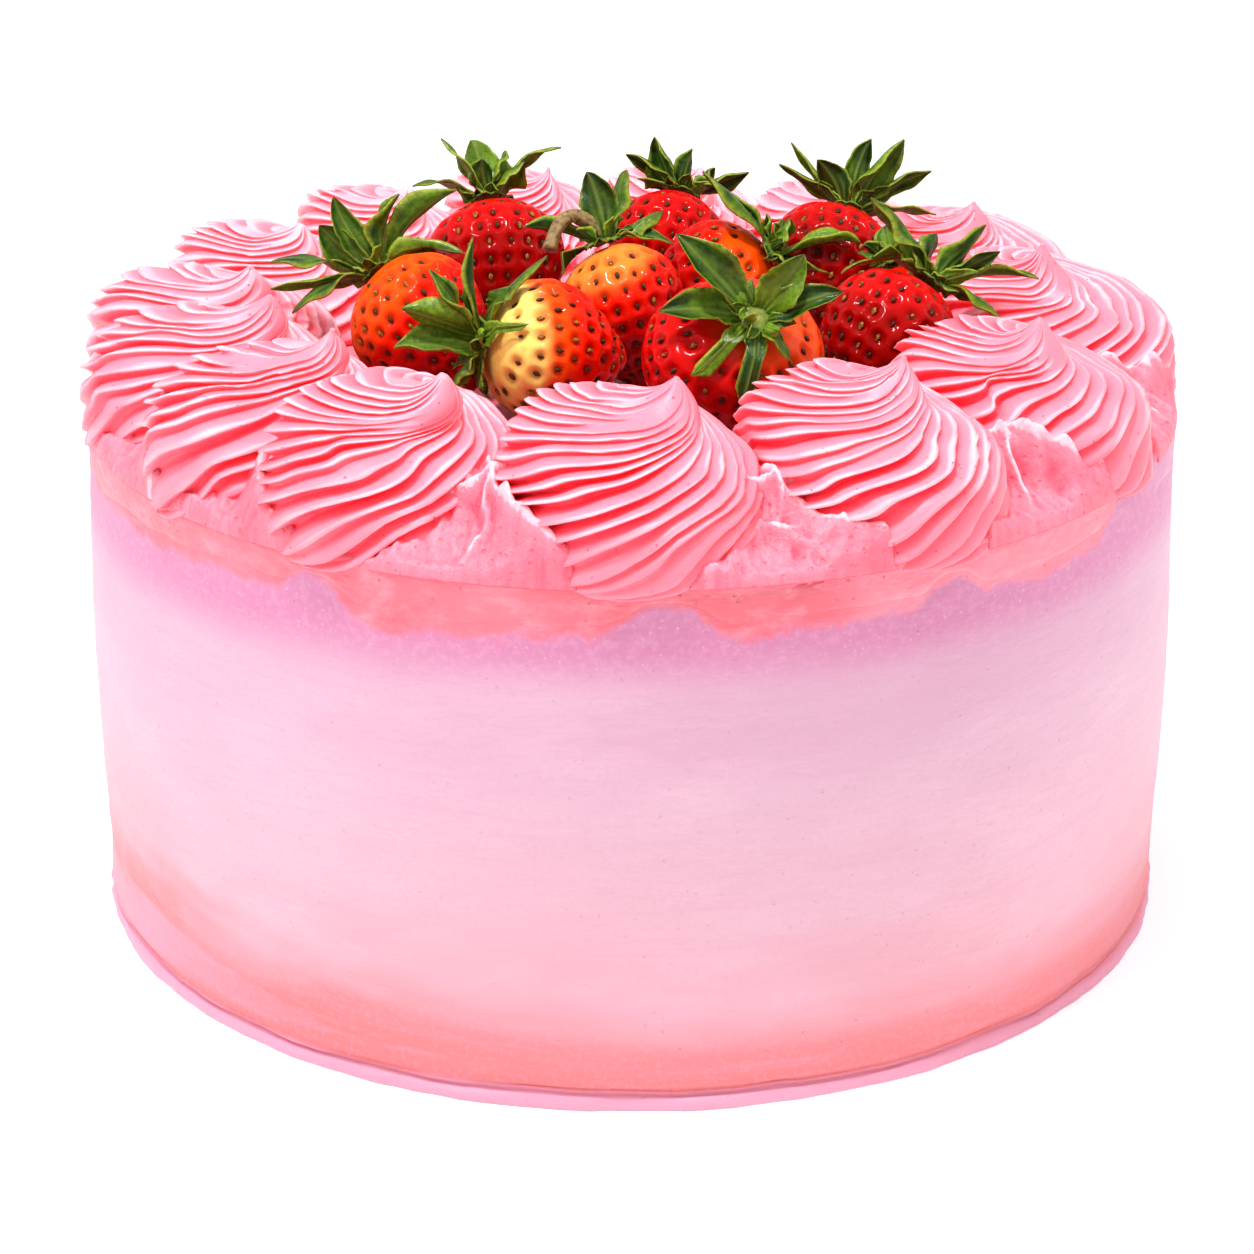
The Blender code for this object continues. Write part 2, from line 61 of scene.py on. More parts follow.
# The pink layer on top ends on the wall in a wandering line: waves as (count, size, phase), and notches as
# (angle in degrees, half width in degrees, rise).
TOP_LAYER_DEPTH = 0.0105
LINE_WAVES = ((3, 0.0010, 0.4), (7, 0.0008, 2.1), (11, 0.0005, 4.0))
LINE_NOTCHES = (
    (-172, 8, 0.0060), (-121, 5, 0.0045), (-86.5, 6.5, 0.0052), (-58, 4.5, 0.0040), (-30, 8, 0.0070),
    (35, 9, 0.0050), (100, 7, 0.0040), (140, 8, 0.0052),
)

# Where the lilac reaches further up over the pink layer: (angle, half width in degrees, rise).
LILAC_STRETCHES = ((-10, 20, 0.010), (-176, 14, 0.010), (70, 12, 0.009))

# The ring of piped swirls. Its radius and the swirls' reach are the solids'; the ridges are finer here.
SWIRL_RING_RADIUS = 0.0835
SWIRL_REACH = 0.0265
FLUTE_WIDTH = 0.0086
FLUTE_DEPTH = 0.36
SWIRL_ROWS = 72
RIM_DROOP = 0.0052
RIM_DROOP_FROM = 0.1030
RIM_REACH = 0.1095
SWIRL_GAP = 0.0002
BERRY_CLEARANCE = 0.0012
SHOULDER_LEAN = np.array((-0.0045, 0.0035))
SHOULDER_TILT = 0.0026

# Painted light: the icing is paler the further a swirl lies this way across the cake, where more light falls.
PAINTED_LIGHT_TOWARD = np.array((-6.2, 12.5))

# Hollows end at one of these shares of the swirl's reach on their way to its tip, so fewer ridges run on.
HOLLOW_ENDS = (0.0, 0.0, 0.12, 0.30, 0.46)

# One ridge and the hollow beside it, steep on the ridge's side: (place across the flute, depth).
FLUTE_SHAPE = (
    (0.06, 0.0), (0.075, 0.45), (0.12, 0.85), (0.20, 1.0),
    (0.33, 0.83), (0.50, 0.54), (0.70, 0.26), (0.90, 0.06),
)

# (share of the swirl's reach, share of its height, turn of its ridges in degrees), from the foot to the tip.
SWIRL_PROFILE = (
    (0.90, 0.0, -40), (1.0, 0.10, 2), (1.0, 0.30, 30), (0.96, 0.49, 55), (0.86, 0.65, 80), (0.71, 0.76, 104),
    (0.54, 0.795, 128), (0.38, 0.82, 148), (0.24, 0.875, 164), (0.13, 0.955, 177), (0.055, 1.03, 187),
    (0.012, 1.075, 193),
)

# (angle round the cake in degrees, half width, height, where the tip lies from the middle: x and y)
SWIRLS = (
    (-121, 0.0235, 0.0250, 0.0100, -0.0040),
    (-90, 0.0262, 0.0250, 0.0085, 0.0060),
    (-59, 0.0250, 0.0250, 0.0065, 0.0060),
    (-29, 0.0245, 0.0250, 0.0035, -0.0015),
    (4, 0.0245, 0.0250, -0.0010, 0.0020),
    (34, 0.0215, 0.0230, 0.0030, 0.0000),
    (58, 0.0195, 0.0215, 0.0030, -0.0020),
    (82, 0.0195, 0.0215, 0.0040, -0.0020),
    (105, 0.0195, 0.0220, 0.0040, -0.0020),
    (128, 0.0195, 0.0220, 0.0040, -0.0030),
    (151, 0.0195, 0.0210, 0.0050, -0.0030),
    (175, 0.0190, 0.0215, 0.0080, -0.0020),
    (-163, 0.0190, 0.0230, 0.0110, 0.0040),
    (-142, 0.0195, 0.0240, 0.0110, 0.0060),
)

# Torn icing in the gaps between the swirls. A kind of gap is its ridges: each is how quickly it falls away
# and its points, as (aside, distance from the cake's middle, height), all in millimetres.
GAP_KINDS = {
    "web": (
        (2.4, ((0.5, 93, 17), (0, 97, 11), (0.8, 101, 6), (-1.5, 107, 1))),
        (1.6, ((0.5, 93, 17), (-6, 94, 13), (-13, 96, 10))),
        (3.0, ((0.5, 93, 17), (6, 92, 15.5), (12, 92, 14))),
    ),
    "hollow": (
        (1.3, ((-10, 91, 16), (0, 92.5, 15), (10, 93.5, 13))),
        (1.2, ((2, 93, 14.5), (-1, 98, 6.5), (4, 102, 3.8), (9, 107, 1))),
        (2.2, ((-9, 98, 6.5), (-1, 98.5, 6.5), (6, 99.5, 5.5))),
    ),
    "curl": (
        (2.0, ((-9, 92.5, 12.5), (1, 93, 15.5), (9, 94, 13))),
        (1.5, ((1, 93, 15.5), (-1.5, 98, 8), (-5, 105, 2))),
        (1.6, ((1, 93, 15.5), (4, 99, 7), (8, 106, 1.5))),
    ),
    "fan": (
        (1.3, ((0, 95, 11), (-6, 101, 4.5), (-8, 106, 1))),
        (1.1, ((0, 95, 11), (-1, 101, 4.5), (-2, 107, 1))),
        (1.3, ((0, 95, 11), (4, 101, 5), (5, 107, 1))),
        (1.8, ((-8, 93, 9), (0, 95, 11), (8, 94, 10))),
    ),
}

# Each gap: the angle of its middle in degrees, and its kind.
GAPS = (
    (-105.0, "web"), (-74.5, "hollow"), (-44.0, "curl"), (-12.5, "fan"), (19, "hollow"),
    (46, "web"), (70, "curl"), (93.5, "fan"), (116.5, "hollow"), (139.5, "web"),
    (163, "curl"), (-174, "fan"), (-152.5, "hollow"), (-131.5, "fan"),
)

# Each strawberry: centre (x, y, height above the top), width, length, share of the width left across the
# flattened way, direction from the leaves to the tip, and its leaves as (x, y, z of the leaf's tip from the
# hub, width). All lengths are in millimetres.
BERRIES = (
    ("01", (-27.6, 32.0, 14.6), 29, 32, 1.0, (0.12, -0.62, -0.77), (
        (-9.9, 2, 12.4, 5), (-4, 4, 11.5, 7.5), (-1.5, -2, 9.2, 6), (3.5, 3, 9.6, 7), (7.4, -1, 8.2, 6),
        (15, 2, 10.5, 4.5), (-16, 1, 2.5, 5), (3, 10, 3, 7))),
    ("02", (-40.4, -9.6, 14.4), 28, 32, 1.0, (0.60, -0.56, -0.56), (
        (-8.8, 4, 14.7, 6), (-11.8, 3, 9, 7), (4.3, 3, 15.3, 6.5), (15.5, 5, 15.6, 7), (-21.8, 4, 1, 6.5),
        (-21.5, 0, -3.2, 4), (-17, -4, -7, 6), (17, -3, 5, 5))),
    ("03", (-15.2, -24.2, 14.4), 28, 30, 1.0, (0.92, 0.32, -0.21), (
        (-1.3, 2, 20.5, 5), (-9.7, 1, 14.5, 7), (-15, -1, 7.4, 7), (-16.5, -2, -0.2, 7.5),
        (12.7, 3, 16.5, 4.5), (8.6, -6, 5, 5), (1.5, -4, -9.5, 5), (-5.8, -3, -8.5, 4.5))),
    ("04", (-1.2, -1.2, 15), 26, 30, 1.0, (0.28, -0.33, -0.90), (
        (-3.5, 3, 13.6, 8), (-16, 1, 3, 5), (-8.5, -7, -4.5, 5.5), (4.5, 5, 13.5, 6), (11.6, 3, 5.6, 6),
        (13.7, -3, 0.5, 4.5))),
    ("05", (7.4, 44.0, 14.2), 26, 29, 1.0, (-0.22, -0.62, -0.75), (
        (-11.6, 1, 8.2, 4.5), (-5.6, 2, 11.7, 6), (2.4, 0, 9.7, 4.5), (7.3, 6, 4, 5), (14.4, 0, 4.6, 5),
        (-10, -3, 0.8, 3.5))),
    ("06", (16.2, 20.0, 15.4), 24, 29, 1.0, (-0.86, 0.09, -0.49), (
        (-14, -1, 16.5, 6.5), (-8, 4, 10.6, 4), (3.6, 1, 6.2, 6), (18, 0, 1.5, 5), (11.7, -3, -4.2, 6),
        (-3.5, -7, -1, 4))),
    ("07", (40.8, 30.8, 14.5), 28, 31, 1.0, (-0.31, -0.70, -0.64), (
        (-12.2, 3, 13.8, 4), (-14.8, 0, 10, 4), (-7, -1, 11.2, 7), (4.4, 3, 14.6, 6), (11.2, 3, 14.5, 7),
        (17, 2, 8, 6), (18, -1, -0.5, 6))),
    ("08", (18.4, -36.2, 16.2), 37, 32, 0.85, (-0.30, 0.60, -0.74), (
        (-14.8, 2, 15.6, 8), (-18, -3, 2.2, 8), (8.9, 1, 12, 8), (16, -1, 5.4, 6.5), (6.5, -4, -7.2, 4.5),
        (-8.5, -4, -7, 4.5), (-2.5, -5, -13, 4.5))),
    ("09", (48.8, -17.4, 14.5), 28, 31, 1.0, (-0.59, -0.46, -0.66), (
        (-11.5, 0, 16.6, 8), (11.3, 3, 10.5, 6.5), (14, 0, 6, 5), (-16, -5, 2, 6.5), (9.5, -4, 3, 4),
        (21.7, 0, 0.4, 5), (14.4, -4, -7, 5.5), (2, 6, 8, 6))),
    ("10", (56.0, 9.0, 11), 18, 23, 1.0, (0.25, -0.45, -0.85), (
        (-1.5, 7, 6, 5), (7.5, 3, 5, 5), (-6.5, 0, 4, 4.5), (4, -6.5, 1.5, 4))),
)

# The leaves, and the one stalk with the place of its tip from its foot in millimetres.
CALYX_HUB_RADIUS = 0.0036
CALYX_LIFT = 0.0007
LEAF_THICKNESS = 0.00035
SMALL_LEAVES = 9
LEAF_CLEARANCE = 0.0008
STALK_BERRY = "04"
STALK_TIP = (-10.5, -6.5, -0.5)
STALK_ARCH = 5
STALK_RADII = (0.0016, 0.0012)

# Berry colours, linear.
DEEP_RED = (0.33, 0.001, 0.001)
RED = (0.54, 0.002, 0.002)
SCARLET = (0.88, 0.010, 0.001)
ORANGE = (0.92, 0.075, 0.002)
AMBER = (0.86, 0.22, 0.028)
CREAM = (1.0, 0.70, 0.16)
BLUSH = (0.86, 0.08, 0.012)

# Each strawberry's colours: by the leaves, half way and at the tip, how far down the first reaches as a share
# of the length, and the side on which the first two reach further.
BERRY_COLOURS = {
    "01": (RED, DEEP_RED, DEEP_RED, 0.15, (0, 0, 1)),
    "02": (ORANGE, SCARLET, RED, 0.26, (-1, 0, 0.4)),
    "03": (CREAM, ORANGE, SCARLET, 0.11, (-0.8, -0.5, 0)),
    "04": (AMBER, SCARLET, RED, 0.02, (-0.6, -0.5, 0.6)),
    "05": (RED, RED, DEEP_RED, 0.2, (0, 0, 1)),
    "06": (ORANGE, SCARLET, RED, 0.10, (0.5, -0.5, 0)),
    "07": (RED, DEEP_RED, DEEP_RED, 0.12, (0, 0, 1)),
    "08": (BLUSH, RED, RED, 0.02, (1, 0, 0)),
    "09": (RED, DEEP_RED, DEEP_RED, 0.15, (-0.5, 0, 1)),
    "10": (SCARLET, RED, RED, 0.25, (0, 0, 1)),
}

# The camera, at the photograph's place and lens for its square frame of 1254 pixels.
FRAME_PIXELS = 1254
FOCAL_PIXELS = 3537.2
CAMERA_PLACE = (0, -0.67313, 0.32587)
CAMERA_PITCH = math.radians(22.18)
MIDDLE_COLUMN = 631


# Sums on angles and on whole arrays of points.


def turn_between(degrees, other):
    """The turn from another angle to this one in degrees, from -180 to 180."""
    return (degrees - other + 180) % 360 - 180


def smooth_step(x):
    x = np.clip(x, 0, 1)
    return x * x * (3 - 2 * x)


def bell(x):
    return np.exp(-(x ** 2))


def mix(a, b, share):
    """A blend of two values or colours, for an array of shares."""
    share = np.asarray(share, float)[..., None]
    return np.asarray(a, float) * (1 - share) + np.asarray(b, float) * share


def unit(vectors):
    return vectors / np.maximum(np.linalg.norm(vectors, axis=-1, keepdims=True), 1e-12)


def lattice_noise(points, cell, seed):
    """Smooth random values from -1 to 1 that vary over about one cell."""
    place = np.asarray(points, float) / cell + 4096
    base = np.floor(place).astype(np.int64)
    part = place - base
    part = part * part * part * (part * (part * 6 - 15) + 10)
    total = np.zeros(place.shape[:-1])
    for corner in itertools.product((0, 1), repeat=3):
        key = (base + corner) * np.array((73856093, 19349663, 83492791))
        mixed = np.bitwise_xor.reduce(key, axis=-1) ^ (seed * 2654435761)
        mixed = ((mixed ^ (mixed >> 15)) * 2246822519) & 0xFFFFFFFF
        mixed = ((mixed ^ (mixed >> 13)) * 3266489917) & 0xFFFFFFFF
        value = ((mixed ^ (mixed >> 16)) & 0xFFFF) / 32767.5 - 1
        total += value * np.prod(np.where(corner, part, 1 - part), axis=-1)
    return total


def rough_noise(points, cell, seed, octaves=3):
    total = sum(lattice_noise(points, cell / 2 ** k, seed + k) / 2 ** k for k in range(octaves))
    return total / (2 - 0.5 ** (octaves - 1))


def layered_noise(points, layers, seed=0):
    """Noise in layers of (size, cell, octaves, how the heights are stretched, seed)."""
    return sum(
        size * rough_noise(points * (1, 1, stretch), cell, own_seed + seed, octaves)
        for size, cell, octaves, stretch, own_seed in layers
    )


def curve_through(values, t):
    """Smooth values at t, an array from 0 to 1, through evenly spaced points of any size."""
    values = np.asarray(values, float)
    last = len(values) - 1
    x = np.clip(np.asarray(t, float), 0, 1) * last
    i = np.minimum(x.astype(int), last - 1)
    f = (x - i)[..., None]
    a, b, c, d = (values[np.clip(i + k, 0, last)] for k in (-1, 0, 1, 2))
    slope, bend, turn = c - a, 2 * a - 5 * b + 4 * c - d, 3 * b - a - 3 * c + d
    return 0.5 * (2 * b + slope * f + bend * f ** 2 + turn * f ** 3)


def bent_line(start, bend, tip, s):
    """Points at shares s of the way along a line that a middle point bends."""
    s = s[..., None]
    return start * (1 - s) ** 2 + bend * (2 * s * (1 - s)) + tip * s ** 2


# Meshes from rows of points.


def add_piece(name, points, faces, finish, fields, replaces=()):
    """A smooth mesh that rides on the cake, with a value or a colour at each point for its material."""
    mesh = bpy.data.meshes.new(name)
    mesh.from_pydata(np.asarray(points).tolist(), [], faces)
    mesh.materials.append(finish)
    mesh.shade_smooth()
    for key, values in fields.items():
        values = np.asarray(values, np.float32)
        is_colour = values.ndim == 2
        if is_colour:
            values = np.concatenate([values, np.ones_like(values[:, :1])], axis=-1)
        attribute = mesh.attributes.new(key, "FLOAT_COLOR" if is_colour else "FLOAT", "POINT")
        attribute.data.foreach_set("color" if is_colour else "value", values.ravel())
    piece = bpy.data.objects.new(name, mesh)
    bpy.context.scene.collection.objects.link(piece)
    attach(piece, "root")
    if replaces:
        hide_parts(*replaces)
    return piece


def quads(rows, columns, first=0, closed=False):
    """Quads between rows of points. Those that close on themselves face out if they run anticlockwise."""
    faces = []
    for row in range(first, first + (rows - 1) * columns, columns):
        for c in range(columns if closed else columns - 1):
            a, n = row + c, row + (c + 1) % columns
            faces.append((a, n, n + columns, a + columns))
    return faces


def turned(faces):
    """The same quads, facing the other way."""
    return [(a, d, c, b) for a, b, c, d in faces]


def sheet_edge(rows, columns):
    """The points round a sheet, along its first row, down its last column and back the other way."""
    edge = list(range(columns)) + [r * columns + columns - 1 for r in range(1, rows)]
    edge += [(rows - 1) * columns + c for c in range(columns - 2, -1, -1)]
    return edge + [r * columns for r in range(rows - 2, 0, -1)]


def closed_faces(rows, columns, first=0):
    """Faces of a closed solid whose points are rings, and then a middle point for each end."""
    low = first + rows * columns
    last = low - columns
    faces = quads(rows, columns, first, closed=True)
    for c in range(columns):
        n = (c + 1) % columns
        faces.append((first + n, first + c, low))
        faces.append((last + c, last + n, low + 1))
    return faces


def with_ends(values):
    """Values at rows of points, and then their mean over the first row and over the last."""
    flat = values.reshape(-1, *values.shape[2:])
    return np.concatenate([flat, values[0].mean(0)[None], values[-1].mean(0)[None]])


def add_solid(name, rows, finish, fields, replaced):
    """A closed piece from rows of points and the fields' values at them, which replaces one solid."""
    fields = {key: with_ends(values) for key, values in fields.items()}
    faces = closed_faces(*rows.shape[:2])
    return add_piece(name, with_ends(rows), faces, finish, fields, [replaced])


# Materials.

# How far light scatters inside, for red, green and blue.
SCATTER_WALL = (0.003, 0.0012, 0.0009)
SCATTER_PIPED = (0.006, 0.0012, 0.0009)
SCATTER_BERRY = (0.003, 0.0004, 0.0002)
SCATTER_LEAF = (0.001, 0.0016, 0.0004)
COAT_ROUGHNESS = 0.08

# The sockets of a colour mix node by number: the share, the two colours and the result.
MIX_SHARE, MIX_FROM, MIX_TO, MIX_RESULT = 0, 6, 7, 2

# Noise is drawn out sideways where its heights are scaled up like this.
LYING = (1, 1, 2)


class Finish:
    """A material, with short ways to add and join its nodes."""

    def __init__(self, name, roughness, specular=0.5, subsurface=0.0, radius=SCATTER_WALL, coat=0.0):
        self.material = bpy.data.materials.new(name)
        self.material.use_nodes = True
        self.tree = self.material.node_tree
        self.shader = self.tree.nodes["Principled BSDF"]
        self.shader.subsurface_method = "BURLEY"
        self.set_inputs(self.shader, {
            "Roughness": roughness,
            "Specular IOR Level": specular,
            "Subsurface Weight": subsurface,
            "Subsurface Radius": radius,
            "Subsurface Scale": 1.0,
            "Coat Weight": coat,
            "Coat Roughness": COAT_ROUGHNESS,
        })

    def set_inputs(self, node, inputs):
        """Gives each input its value, or joins it to the output of another node."""
        for name, value in inputs.items():
            if isinstance(value, bpy.types.NodeSocket):
                self.tree.links.new(value, node.inputs[name])
            else:
                node.inputs[name].default_value = value

    def add(self, kind, inputs, **settings):
        node = self.tree.nodes.new(kind)
        for key, value in settings.items():
            setattr(node, key, value)
        self.set_inputs(node, inputs)
        return node

    def field(self, name, output="Fac"):
        """The mesh's own values, or its colours with the output Color."""
        return self.add("ShaderNodeAttribute", {}, attribute_name=name).outputs[output]

    def place(self):
        return self.add("ShaderNodeTexCoord", {}).outputs["Object"]

    def noise(self, scale, detail=3.0, roughness=0.55, stretch=None):
        """Noise in the object's own space; scale is in cells for each metre."""
        place = self.place()
        if stretch:
            place = self.add("ShaderNodeMapping", {"Vector": place, "Scale": stretch}).outputs["Vector"]
        inputs = {"Vector": place, "Scale": scale, "Detail": detail, "Roughness": roughness}
        return self.add("ShaderNodeTexNoise", inputs).outputs["Fac"]

    def specks(self, scale, size):
        """1 in scattered round specks, each a share of a cell across, and 0 between them."""
        cells = self.add("ShaderNodeTexVoronoi", {"Vector": self.place(), "Scale": scale})
        return self.span(cells.outputs["Distance"], size, size * 0.4)

    def span(self, value, low, high, to_low=0.0, to_high=1.0):
        """A value eased from to_low to to_high as it goes from low to high."""
        inputs = {"Value": value, "From Min": low, "From Max": high, "To Min": to_low, "To Max": to_high}
        return self.add("ShaderNodeMapRange", inputs, interpolation_type="SMOOTHSTEP").outputs["Result"]

    def sums(self, kind, a, b):
        return self.add("ShaderNodeMath", {0: a, 1: b}, operation=kind).outputs["Value"]

    def blend(self, share, a, b, kind="MIX"):
        """Colour a turning into colour b as the share goes from 0 to 1."""
        a, b = ((*colour, 1) if isinstance(colour, tuple) else colour for colour in (a, b))
        inputs = {MIX_SHARE: share, MIX_FROM: a, MIX_TO: b}
        return self.add("ShaderNodeMix", inputs, data_type="RGBA", blend_type=kind).outputs[MIX_RESULT]

    def patches(self, base, colour, noise, low, high, share=1.0, kind="MIX"):
        """The base with patches of a colour where the noise rises from low to high."""
        return self.blend(self.span(noise, low, high, 0.0, share), base, colour, kind)

    def ramp(self, value, stops):
        """Colours along a value: stops are (place, colour)."""
        node = self.add("ShaderNodeValToRGB", {"Fac": value})
        ramp = node.color_ramp
        ramp.interpolation = "EASE"
        while len(ramp.elements) < len(stops):
            ramp.elements.new(0.5)
        for element, (place, colour) in zip(ramp.elements, stops):
            element.position = place
            element.color = (*colour, 1)
        return node.outputs["Color"]

    def colour(self, source):
        self.set_inputs(self.shader, {"Base Color": source})

    def roughness(self, source):
        self.set_inputs(self.shader, {"Roughness": source})

    def relief(self, *layers):
        """Relief in layers, each a height from 0 to 1, its real depth in metres and its strength."""
        onto = {}
        for height, depth, strength in layers:
            inputs = {"Height": height, "Distance": depth, "Strength": strength, **onto}
            onto = {"Normal": self.add("ShaderNodeBump", inputs).outputs["Normal"]}
        self.set_inputs(self.shader, onto)


# Icing colours, linear.
# The crest pink is a painted highlight and the groove pink is painted shade; the face and middle pinks lie
# between them.
CREST_HIGHLIGHT_PINK = (1.0, 0.49, 0.57)
FACE_PINK = (1.0, 0.215, 0.295)
MID_PINK = (1.0, 0.155, 0.225)
GROOVE_SHADE_PINK = (1.0, 0.08, 0.14)
SPECK_PINK = (0.80, 0.10, 0.16)
PIT_PINK = (0.66, 0.14, 0.20)
SALMON = (0.84, 0.215, 0.285)
SALMON_DEEP = (0.76, 0.125, 0.17)
SALMON_PALE = (0.84, 0.33, 0.40)
LILAC = (0.58, 0.195, 0.35)
LILAC_PALE = (0.66, 0.27, 0.43)
WALL_PALE = (0.71, 0.44, 0.54)
WALL_DEEP = (0.63, 0.30, 0.42)

# The wall's colours by height, as a share of the wall's. The coral lies on the bead and just over it, and
# climbs higher on one side: at an angle and over a spread in degrees, by a share of the height.
CORAL_FROM = 0.036
WALL_STOPS = (
    (0.0, (0.76, 0.30, 0.42)), (0.026, (0.75, 0.27, 0.38)), (CORAL_FROM, (0.74, 0.165, 0.175)),
    (0.10, (0.71, 0.19, 0.21)), (0.145, (0.69, 0.26, 0.30)), (0.22, (0.68, 0.33, 0.39)),
    (0.42, (0.65, 0.37, 0.45)), (0.60, (0.63, 0.37, 0.47)), (0.72, (0.61, 0.34, 0.45)),
    (0.80, (0.61, 0.33, 0.45)), (1.0, (0.61, 0.29, 0.42)),
)
CORAL_SIDE, CORAL_SPREAD, CORAL_RISE = -155, 40, 0.11

# Colours of the fruit, leaves and stalk, linear.
BERRY_STREAK = (0.75, 0.25, 0.25)
SEED_PALE = (0.42, 0.20, 0.03)
SEED_DARK = (0.07, 0.03, 0.008)
SEED_SHADOW = (0.03, 0.012, 0.004)
LEAF_DARK = (0.010, 0.042, 0.002)
LEAF_BRIGHT = (0.15, 0.27, 0.010)
LEAF_RIM = (0.36, 0.42, 0.04)
LEAF_TIP = (0.12, 0.06, 0.02)
LEAF_MOTTLE = (0.40, 0.46, 0.36)
LEAF_VEIN = (0.24, 0.33, 0.06)
HUB_MIDDLE = (0.30, 0.30, 0.07)
HUB_EDGE = (0.10, 0.18, 0.02)
STALK_STOPS = ((0.3, (0.07, 0.04, 0.012)), (0.55, (0.24, 0.15, 0.05)), (0.8, (0.40, 0.29, 0.11)))


def rose_pink(finish, places, mottle, low, share):
    """The piped pinks from the groove field, which paints a highlight on the crests and shade deep in the
    grooves, with mottling and specks over them.
    """
    pinks = (CREST_HIGHLIGHT_PINK, FACE_PINK, MID_PINK, GROOVE_SHADE_PINK)
    base = finish.ramp(finish.field("groove"), tuple(zip(places, pinks)))
    base = finish.patches(base, FACE_PINK, mottle, low, 0.7, share)
    return finish.blend(finish.specks(420, 0.11), base, SPECK_PINK)


def piped_icing():
    finish = Finish("piped_icing", 0.42, 0.4, 0.5, SCATTER_PIPED)
    finish.colour(rose_pink(finish, (0.0, 0.14, 0.45, 1.0), finish.noise(160, 2), 0.35, 0.35))
    finish.roughness(finish.span(finish.noise(300, 2), 0.3, 0.7, 0.36, 0.5))
    finish.relief(
        (finish.noise(1500, 2), 0.00012, 0.6),
        (finish.specks(420, 0.13), -0.0003, 0.8),
    )
    return finish.material


def torn_icing():
    finish = Finish("torn_icing", 0.45, 0.4, 0.5, SCATTER_PIPED)
    mottle = finish.noise(420, 4, 0.7)
    finish.colour(rose_pink(finish, (0.0, 0.20, 0.55, 1.0), mottle, 0.45, 0.5))
    finish.relief(
        (mottle, 0.0008, 0.7),
        (finish.specks(520, 0.24), -0.0006, 0.7),
        (finish.noise(1700, 2), 0.00015, 0.6),
    )
    return finish.material


def top_icing():
    finish = Finish("top_icing", 0.45, 0.45)
    finish.colour(smeared_wall(finish))
    finish.relief(
        (finish.noise(110, 3, 0.7, LYING), 0.0009, 0.6),
        (finish.noise(700, 3), 0.0003, 0.6),
        (finish.specks(300, 0.12), -0.0003, 0.8),
    )
    return finish.material


def wall_icing():
    finish = Finish("wall_icing", 0.5, 0.4)
    finish.colour(smeared_wall(finish))
    finish.relief(
        (finish.noise(160, 3, 0.6, (1, 1, 3.5)), 0.0005, 0.5),
        (finish.noise(1400, 1), 0.00012, 0.4),
        (finish.specks(260, 0.10), -0.00025, 0.6),
    )
    return finish.material


def smeared_wall(finish):
    """The wall's colours, the lilac band over them, and over both the smear down to its wandering edge."""
    height = finish.field("height")
    wall = lilac_over(finish, height, plain_wall(finish, height))
    ragged = finish.span(finish.noise(260, 3, 0.6), 0.2, 0.8, -1.0, 1.0)
    thin = finish.span(finish.noise(45, 2, 0.6, LYING), 0.50, 0.72, 0.0, 1.8)
    below = finish.sums("ADD", finish.sums("ADD", finish.field("below_line"), ragged), thin)
    return finish.blend(finish.span(below, -1.2, 1.2), salmon_icing(finish), wall)


def salmon_icing(finish):
    """The warm pink of the smear on the top and the upper wall, a bit darker in places."""
    base = finish.patches(SALMON, SALMON_DEEP, finish.noise(17, 2, 0.6), 0.35, 0.65)
    base = finish.patches(base, SALMON_PALE, finish.noise(120, 3, 0.7, LYING), 0.40, 0.80, 0.55)
    return finish.blend(finish.specks(240, 0.10), base, SPECK_PINK)


def plain_wall(finish, height):
    """The wall's colours by height, which wander a little, with clouds, streaks, grain and pits."""
    wander = finish.span(finish.noise(14, 1, 0.5, LYING), 0.2, 0.8, -0.008, 0.008)
    wall = finish.ramp(finish.sums("ADD", finish.field("tint_height"), wander), WALL_STOPS)
    clouds = finish.span(finish.noise(22, 3, 0.6, (1, 1, 2.2)), 0.40, 0.75, 0.0, 0.45)
    above_foot = finish.span(height, 0.08, 0.20)
    wall = finish.blend(finish.sums("MULTIPLY", clouds, above_foot), wall, WALL_PALE)
    wall = finish.patches(wall, WALL_DEEP, finish.noise(34, 4, 0.7, (1, 1, 12)), 0.46, 0.80, 0.35)
    wall = finish.patches(wall, WALL_DEEP, finish.noise(900, 1, 0.6), 0.45, 0.75, 0.22)
    return finish.blend(finish.sums("MULTIPLY", finish.specks(330, 0.055), 0.8), wall, PIT_PINK)


def lilac_over(finish, height, wall):
    """The lilac band high on the wall, and the pale bubbles that are closest together in it."""
    band = finish.patches(LILAC, LILAC_PALE, finish.noise(700, 2, 0.65), 0.42, 0.72, 0.6)
    drift = finish.span(finish.noise(16, 1, 0.5, LYING), 0.25, 0.75, -0.012, 0.012)
    wall = finish.patches(wall, band, finish.sums("ADD", height, drift), 0.765, 0.875)
    bubbles = finish.sums("MULTIPLY", finish.specks(480, 0.17), finish.span(height, 0.78, 0.86, 0.1, 0.4))
    return finish.blend(bubbles, wall, WALL_PALE)


def berry_skin():
    finish = Finish("berry_skin", 0.30, 0.02, 0.05, SCATTER_BERRY, coat=0.20)
    base = finish.field("colour", "Color")
    finish.colour(finish.patches(base, BERRY_STREAK, finish.noise(420, 2, 0.6), 0.40, 0.75, 0.30, "MULTIPLY"))
    finish.roughness(finish.span(finish.noise(500, 1), 0.3, 0.7, 0.14, 0.32))
    finish.relief((finish.noise(900, 2), 0.00012, 0.5))
    return finish.material


def seed_skin():
    finish = Finish("seed_skin", 0.35, 0.10, coat=0.12)
    base = finish.field("colour", "Color")
    finish.colour(finish.patches(base, SEED_SHADOW, finish.noise(2600, 2), 0.3, 0.7))
    finish.relief((finish.noise(3000, 2), 0.0001, 0.5))
    return finish.material


